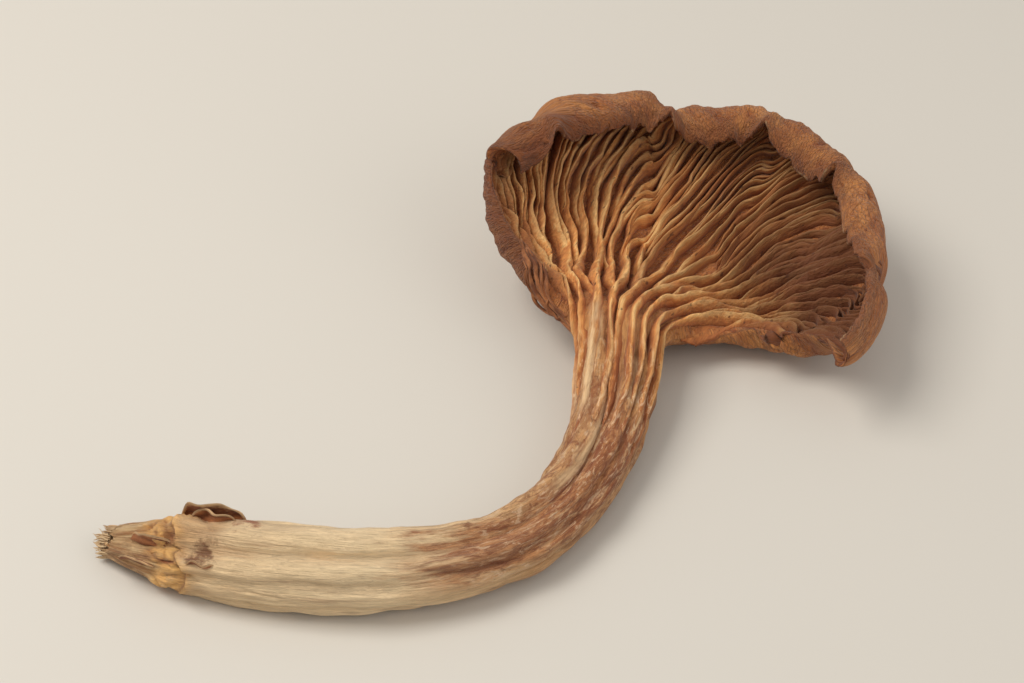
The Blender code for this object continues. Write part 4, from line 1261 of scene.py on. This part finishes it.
def stem_skin(look, along, front):
    """Cream, streaked beige in the bend, with a ragged brown patch at its outer side, golden at the neck."""
    colour = look.ramp(look.sum(along, look.pattern("stem_drift")), STEM_COLOURS)
    colour = look.painted(colour, "stem_streaks", look.curve(along, STREAKS_ALONG))
    colour = look.tinted(colour, "stem_tint")
    ragged_edge = look.pattern("patch_edge")
    across = look.sum(look.number("across"), look.product(ragged_edge, PATCH_EDGE_ACROSS))
    ragged_along = look.sum(along, look.product(ragged_edge, PATCH_EDGE_ALONG))
    patch = look.product(look.inside(across, *PATCH_ACROSS), look.inside(ragged_along, *PATCH_ALONG), front)
    colour = look.over(colour, patch, PATCH_SHARE, look.mix(look.pattern("patch_mottle"), *PATCH_COLOURS))
    colour = look.painted(colour, "stem_lines", look.spread(along, *LINES_ALONG))
    return stem_marks(look, colour, front)


def torn_edge(look, colour, top):
    """Adds the bare core, the golden folds with painted shade in their grooves, a painted shadow line under
    the lip and the stains beside it.
    """
    core = look.number("core")
    colour = look.over(colour, core, CORE_SHARE, look.mix(look.pattern("core_streaks"), *CORE_COLOURS))
    colour = look.painted(colour, "core_stains", core)
    # The folds are golden, with painted shade darkening their grooves.
    golden = look.mix(look.spread(top, *GOLDEN_TOPS), *GOLDEN_COLOURS)
    folds = look.product(look.spread(look.number("fold"), *GOLDEN_FOLDS), look.pattern("golden_patches"))
    colour = look.over(colour, folds, GOLDEN_SHARE, golden)
    # A painted shadow line under the torn skin's lip.
    colour = look.over(colour, look.product(look.number("lip"), look.spread(core, *LIP_CORE)), *LIP_SHADOW)
    for turn, s, size, stain in STAINS:
        angle = math.radians(turn)
        place = (STEM_GRAIN_RADIUS * math.cos(angle), STEM_GRAIN_RADIUS * math.sin(angle), s)
        colour = look.over(colour, look.near(place, size), STAIN_SHARE, stain)
    return colour


def cap_skin(look):
    """Leathery brown on the back, darker at its left edge, partly as painted shade, and darker between the
    gills, partly as painted shade.
    """
    colour = look.mix(look.pattern("leather"), *LEATHER_COLOURS)
    colour = look.painted(colour, "leather_patches")
    colour = look.tinted(look.mix(look.net("leather_pores"), PORE_COLOUR, colour), "leather_tint")
    # The left edge of the back is darker brown, partly painted shade of the rolled edge.
    colour = look.over(colour, look.spread(look.number("across"), *LEFT_LEATHER), *LEFT_BROWN_AND_SHADE)
    # Between the gills the skin is darker, partly as painted shade.
    between = look.mix(look.pattern("between_gills"), *BETWEEN_COLOURS)
    return look.mix(look.number("gill_side"), colour, between)


def skin_look():
    """The stem's and the cap's skin, with painted shade in its grooves, and a brown rim that is pale at its
    very edge.
    """
    look = Look("mushroom_skin")
    along, top, cap = look.number("along"), look.number("top"), look.number("cap")
    stem = torn_edge(look, stem_skin(look, along, look.number("front")), top)
    colour = look.mix(cap, stem, cap_skin(look))
    # Painted shade: the skin's colour is darkened in its grooves.
    grooves = look.product(look.spread(top, *SHADED_GROOVES), look.curve(along, GROOVE_SHADE_ALONG))
    colour = look.mix(grooves, colour, look.mix(1.0, colour, GROOVE_SHADE_TINT, "MULTIPLY"))
    rim = look.number("rim")
    colour = look.painted(colour, "rim_brown", look.spread(rim, *RIM_BROWNS))
    colour = look.painted(colour, "rim_pale", look.spread(rim, *RIM_PALES))
    heights = [look.relief("stem_threads", look.flipped(cap)),
               look.product(look.net("cap_pebbles"), cap, PEBBLE_HEIGHT),
               look.relief("cap_creases", cap), look.relief("skin_grit")]
    return look.finish(colour, look.pattern("skin_roughness"), heights)


def gill_look():
    """Golden crests over brown grooves, partly a painted highlight on the crests and painted shade at their
    feet, darker at the left edge, and darker towards the margin and the right, partly as painted shade.
    """
    look = Look("mushroom_gills")
    crest, strand = look.number("crest"), look.number("strand")
    across, along = look.number("across"), look.number("along")
    # Paler to the crests and darker to the feet: partly the gills' own pale edges, partly a painted highlight
    # and painted shade.
    colour = look.ramp(look.sum(crest, look.pattern("crest_edge")), CREST_COLOURS)
    colour = look.tinted(look.over(colour, look.spread(strand, *OTHER_STRANDS), *GILL_STRANDS), "gill_tint")
    colour = look.painted(colour, "gill_patches")
    # Painted shade over the right part of the gills, partly their own darker brown.
    shade = look.product(look.spread(across, *SHADE_ACROSS), look.spread(along, *SHADE_ALONG))
    colour = look.over(colour, shade, *GILL_SHADE)
    left = look.product(look.spread(across, *LEFT_ACROSS), look.spread(along, *LEFT_ALONG))
    colour = look.over(colour, left, *GILL_LEFT)
    # Darker towards the margin: partly the gills' own browner tone, partly painted shade under the roll.
    colour = look.over(colour, look.spread(along, *OUTER_ALONG), *GILL_OUTER_BROWN_AND_SHADE)
    colour = look.painted(colour, "gill_specks")
    # Near the stem the gills take foot colours, darker at their feet as painted shade.
    foot = look.spread(look.sum(crest, look.pattern("gill_foot")), *FOOT_TONES)
    starts = look.sum(along, look.spread(strand, *UP, *STRANDS_START))
    colour = look.mix(look.spread(starts, *FEET_TO), look.mix(foot, *FOOT_COLOURS), colour)
    heights = [look.relief("gill_threads"), look.relief("gill_grit")]
    return look.finish(stem_marks(look, colour, 1.0), look.pattern("gill_roughness"), heights)


def torn_look():
    """Pale fibres, and brown loose strips with pale edges."""
    look = Look("mushroom_torn_end")
    fibres = look.mix(look.pattern("fibre_streaks"), *FIBRE_COLOURS)
    edge = look.spread(look.sum(look.number("free"), look.pattern("strip_edge")), *STRIP_EDGES)
    strips = look.mix(edge, look.mix(look.pattern("strip_patches"), *STRIP_COLOURS), STRIP_EDGE_COLOUR)
    colour = look.tinted(look.mix(look.number("strip"), fibres, strips), "torn_tint")
    return look.finish(colour, look.pattern("torn_roughness"), [look.relief("torn_threads")])


def make_stage():
    """A pale floor, soft light from the upper left, and the camera at the photograph's angle."""
    mesh = bpy.data.meshes.new("floor")
    w = FLOOR_HALF
    mesh.from_pydata([(-w, -w, 0), (w, -w, 0), (w, w, 0), (-w, w, 0)], [], [(0, 1, 2, 3)])
    look = Look("floor")
    look.shader.inputs["Base Color"].default_value = FLOOR_COLOUR
    look.shader.inputs["Roughness"].default_value = FLOOR_ROUGHNESS
    mesh.materials.append(look.material)
    floor = bpy.data.objects.new("floor", mesh)
    bpy.context.scene.collection.objects.link(floor)

    world = bpy.data.worlds.new("studio")
    world.use_nodes = True
    sky = world.node_tree.nodes["Background"]
    sky.inputs["Color"].default_value = SKY_COLOUR
    sky.inputs["Strength"].default_value = SKY_STRENGTH
    bpy.context.scene.world = world
    for name, place, size, power, colour in LIGHTS:
        light = bpy.data.lights.new(name, "AREA")
        light.energy, light.size, light.color = power, size, colour
        lamp = bpy.data.objects.new(name, light)
        lamp.location = place
        lamp.rotation_euler = (Vector((0, 0, 0)) - lamp.location).to_track_quat("-Z", "Y").to_euler()
        bpy.context.scene.collection.objects.link(lamp)

    data = bpy.data.cameras.new("camera")
    data.lens, data.clip_start = CAMERA_LENS, CAMERA_NEAREST
    camera = bpy.data.objects.new("camera", data)
    high = math.radians(CAMERA_ELEVATION)
    back = Vector((0.0, -math.cos(high), math.sin(high)))
    camera.location = Vector(CAMERA_AIM) + back * CAMERA_DISTANCE
    camera.rotation_euler = (-back).to_track_quat("-Z", "Y").to_euler()
    bpy.context.scene.collection.objects.link(camera)
    bpy.context.scene.camera = camera
    bpy.context.scene.view_settings.view_transform = "Standard"


def box_offset():
    """How far the made points move so that their box has its middle where the solid's box has it."""
    places = np.linspace(-STEM_LENGTH, MEAN_REACH, BOX_SAMPLES[0]), np.linspace(-1.0, 1.0, BOX_SAMPLES[1])
    s, a = (grid.ravel() for grid in np.meshgrid(*places, indexing="ij"))
    points = np.concatenate([skin_point(s, a, side * np.ones(s.size))[0] for side in (1.0, -1.0)])
    low, high = (np.array(corner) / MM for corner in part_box(NODE))
    offset = (low + high) / 2 - (points.min(0) + points.max(0)) / 2
    return np.array([offset[0], offset[1], 0.0])


OFFSET = box_offset()

skin, gilled = skin_look(), gill_look()
make_skin(skin)
gills = gill_list()
make_gills("gills_long", [gill for gill in gills if gill[4]], gills, gilled, *LONG_GILLS)
make_gills("gills_short", [gill for gill in gills if not gill[4]], gills, gilled, *SHORT_GILLS)
torn = torn_look()
make_torn_end(torn)
make_edge_strands(torn)
make_stage()
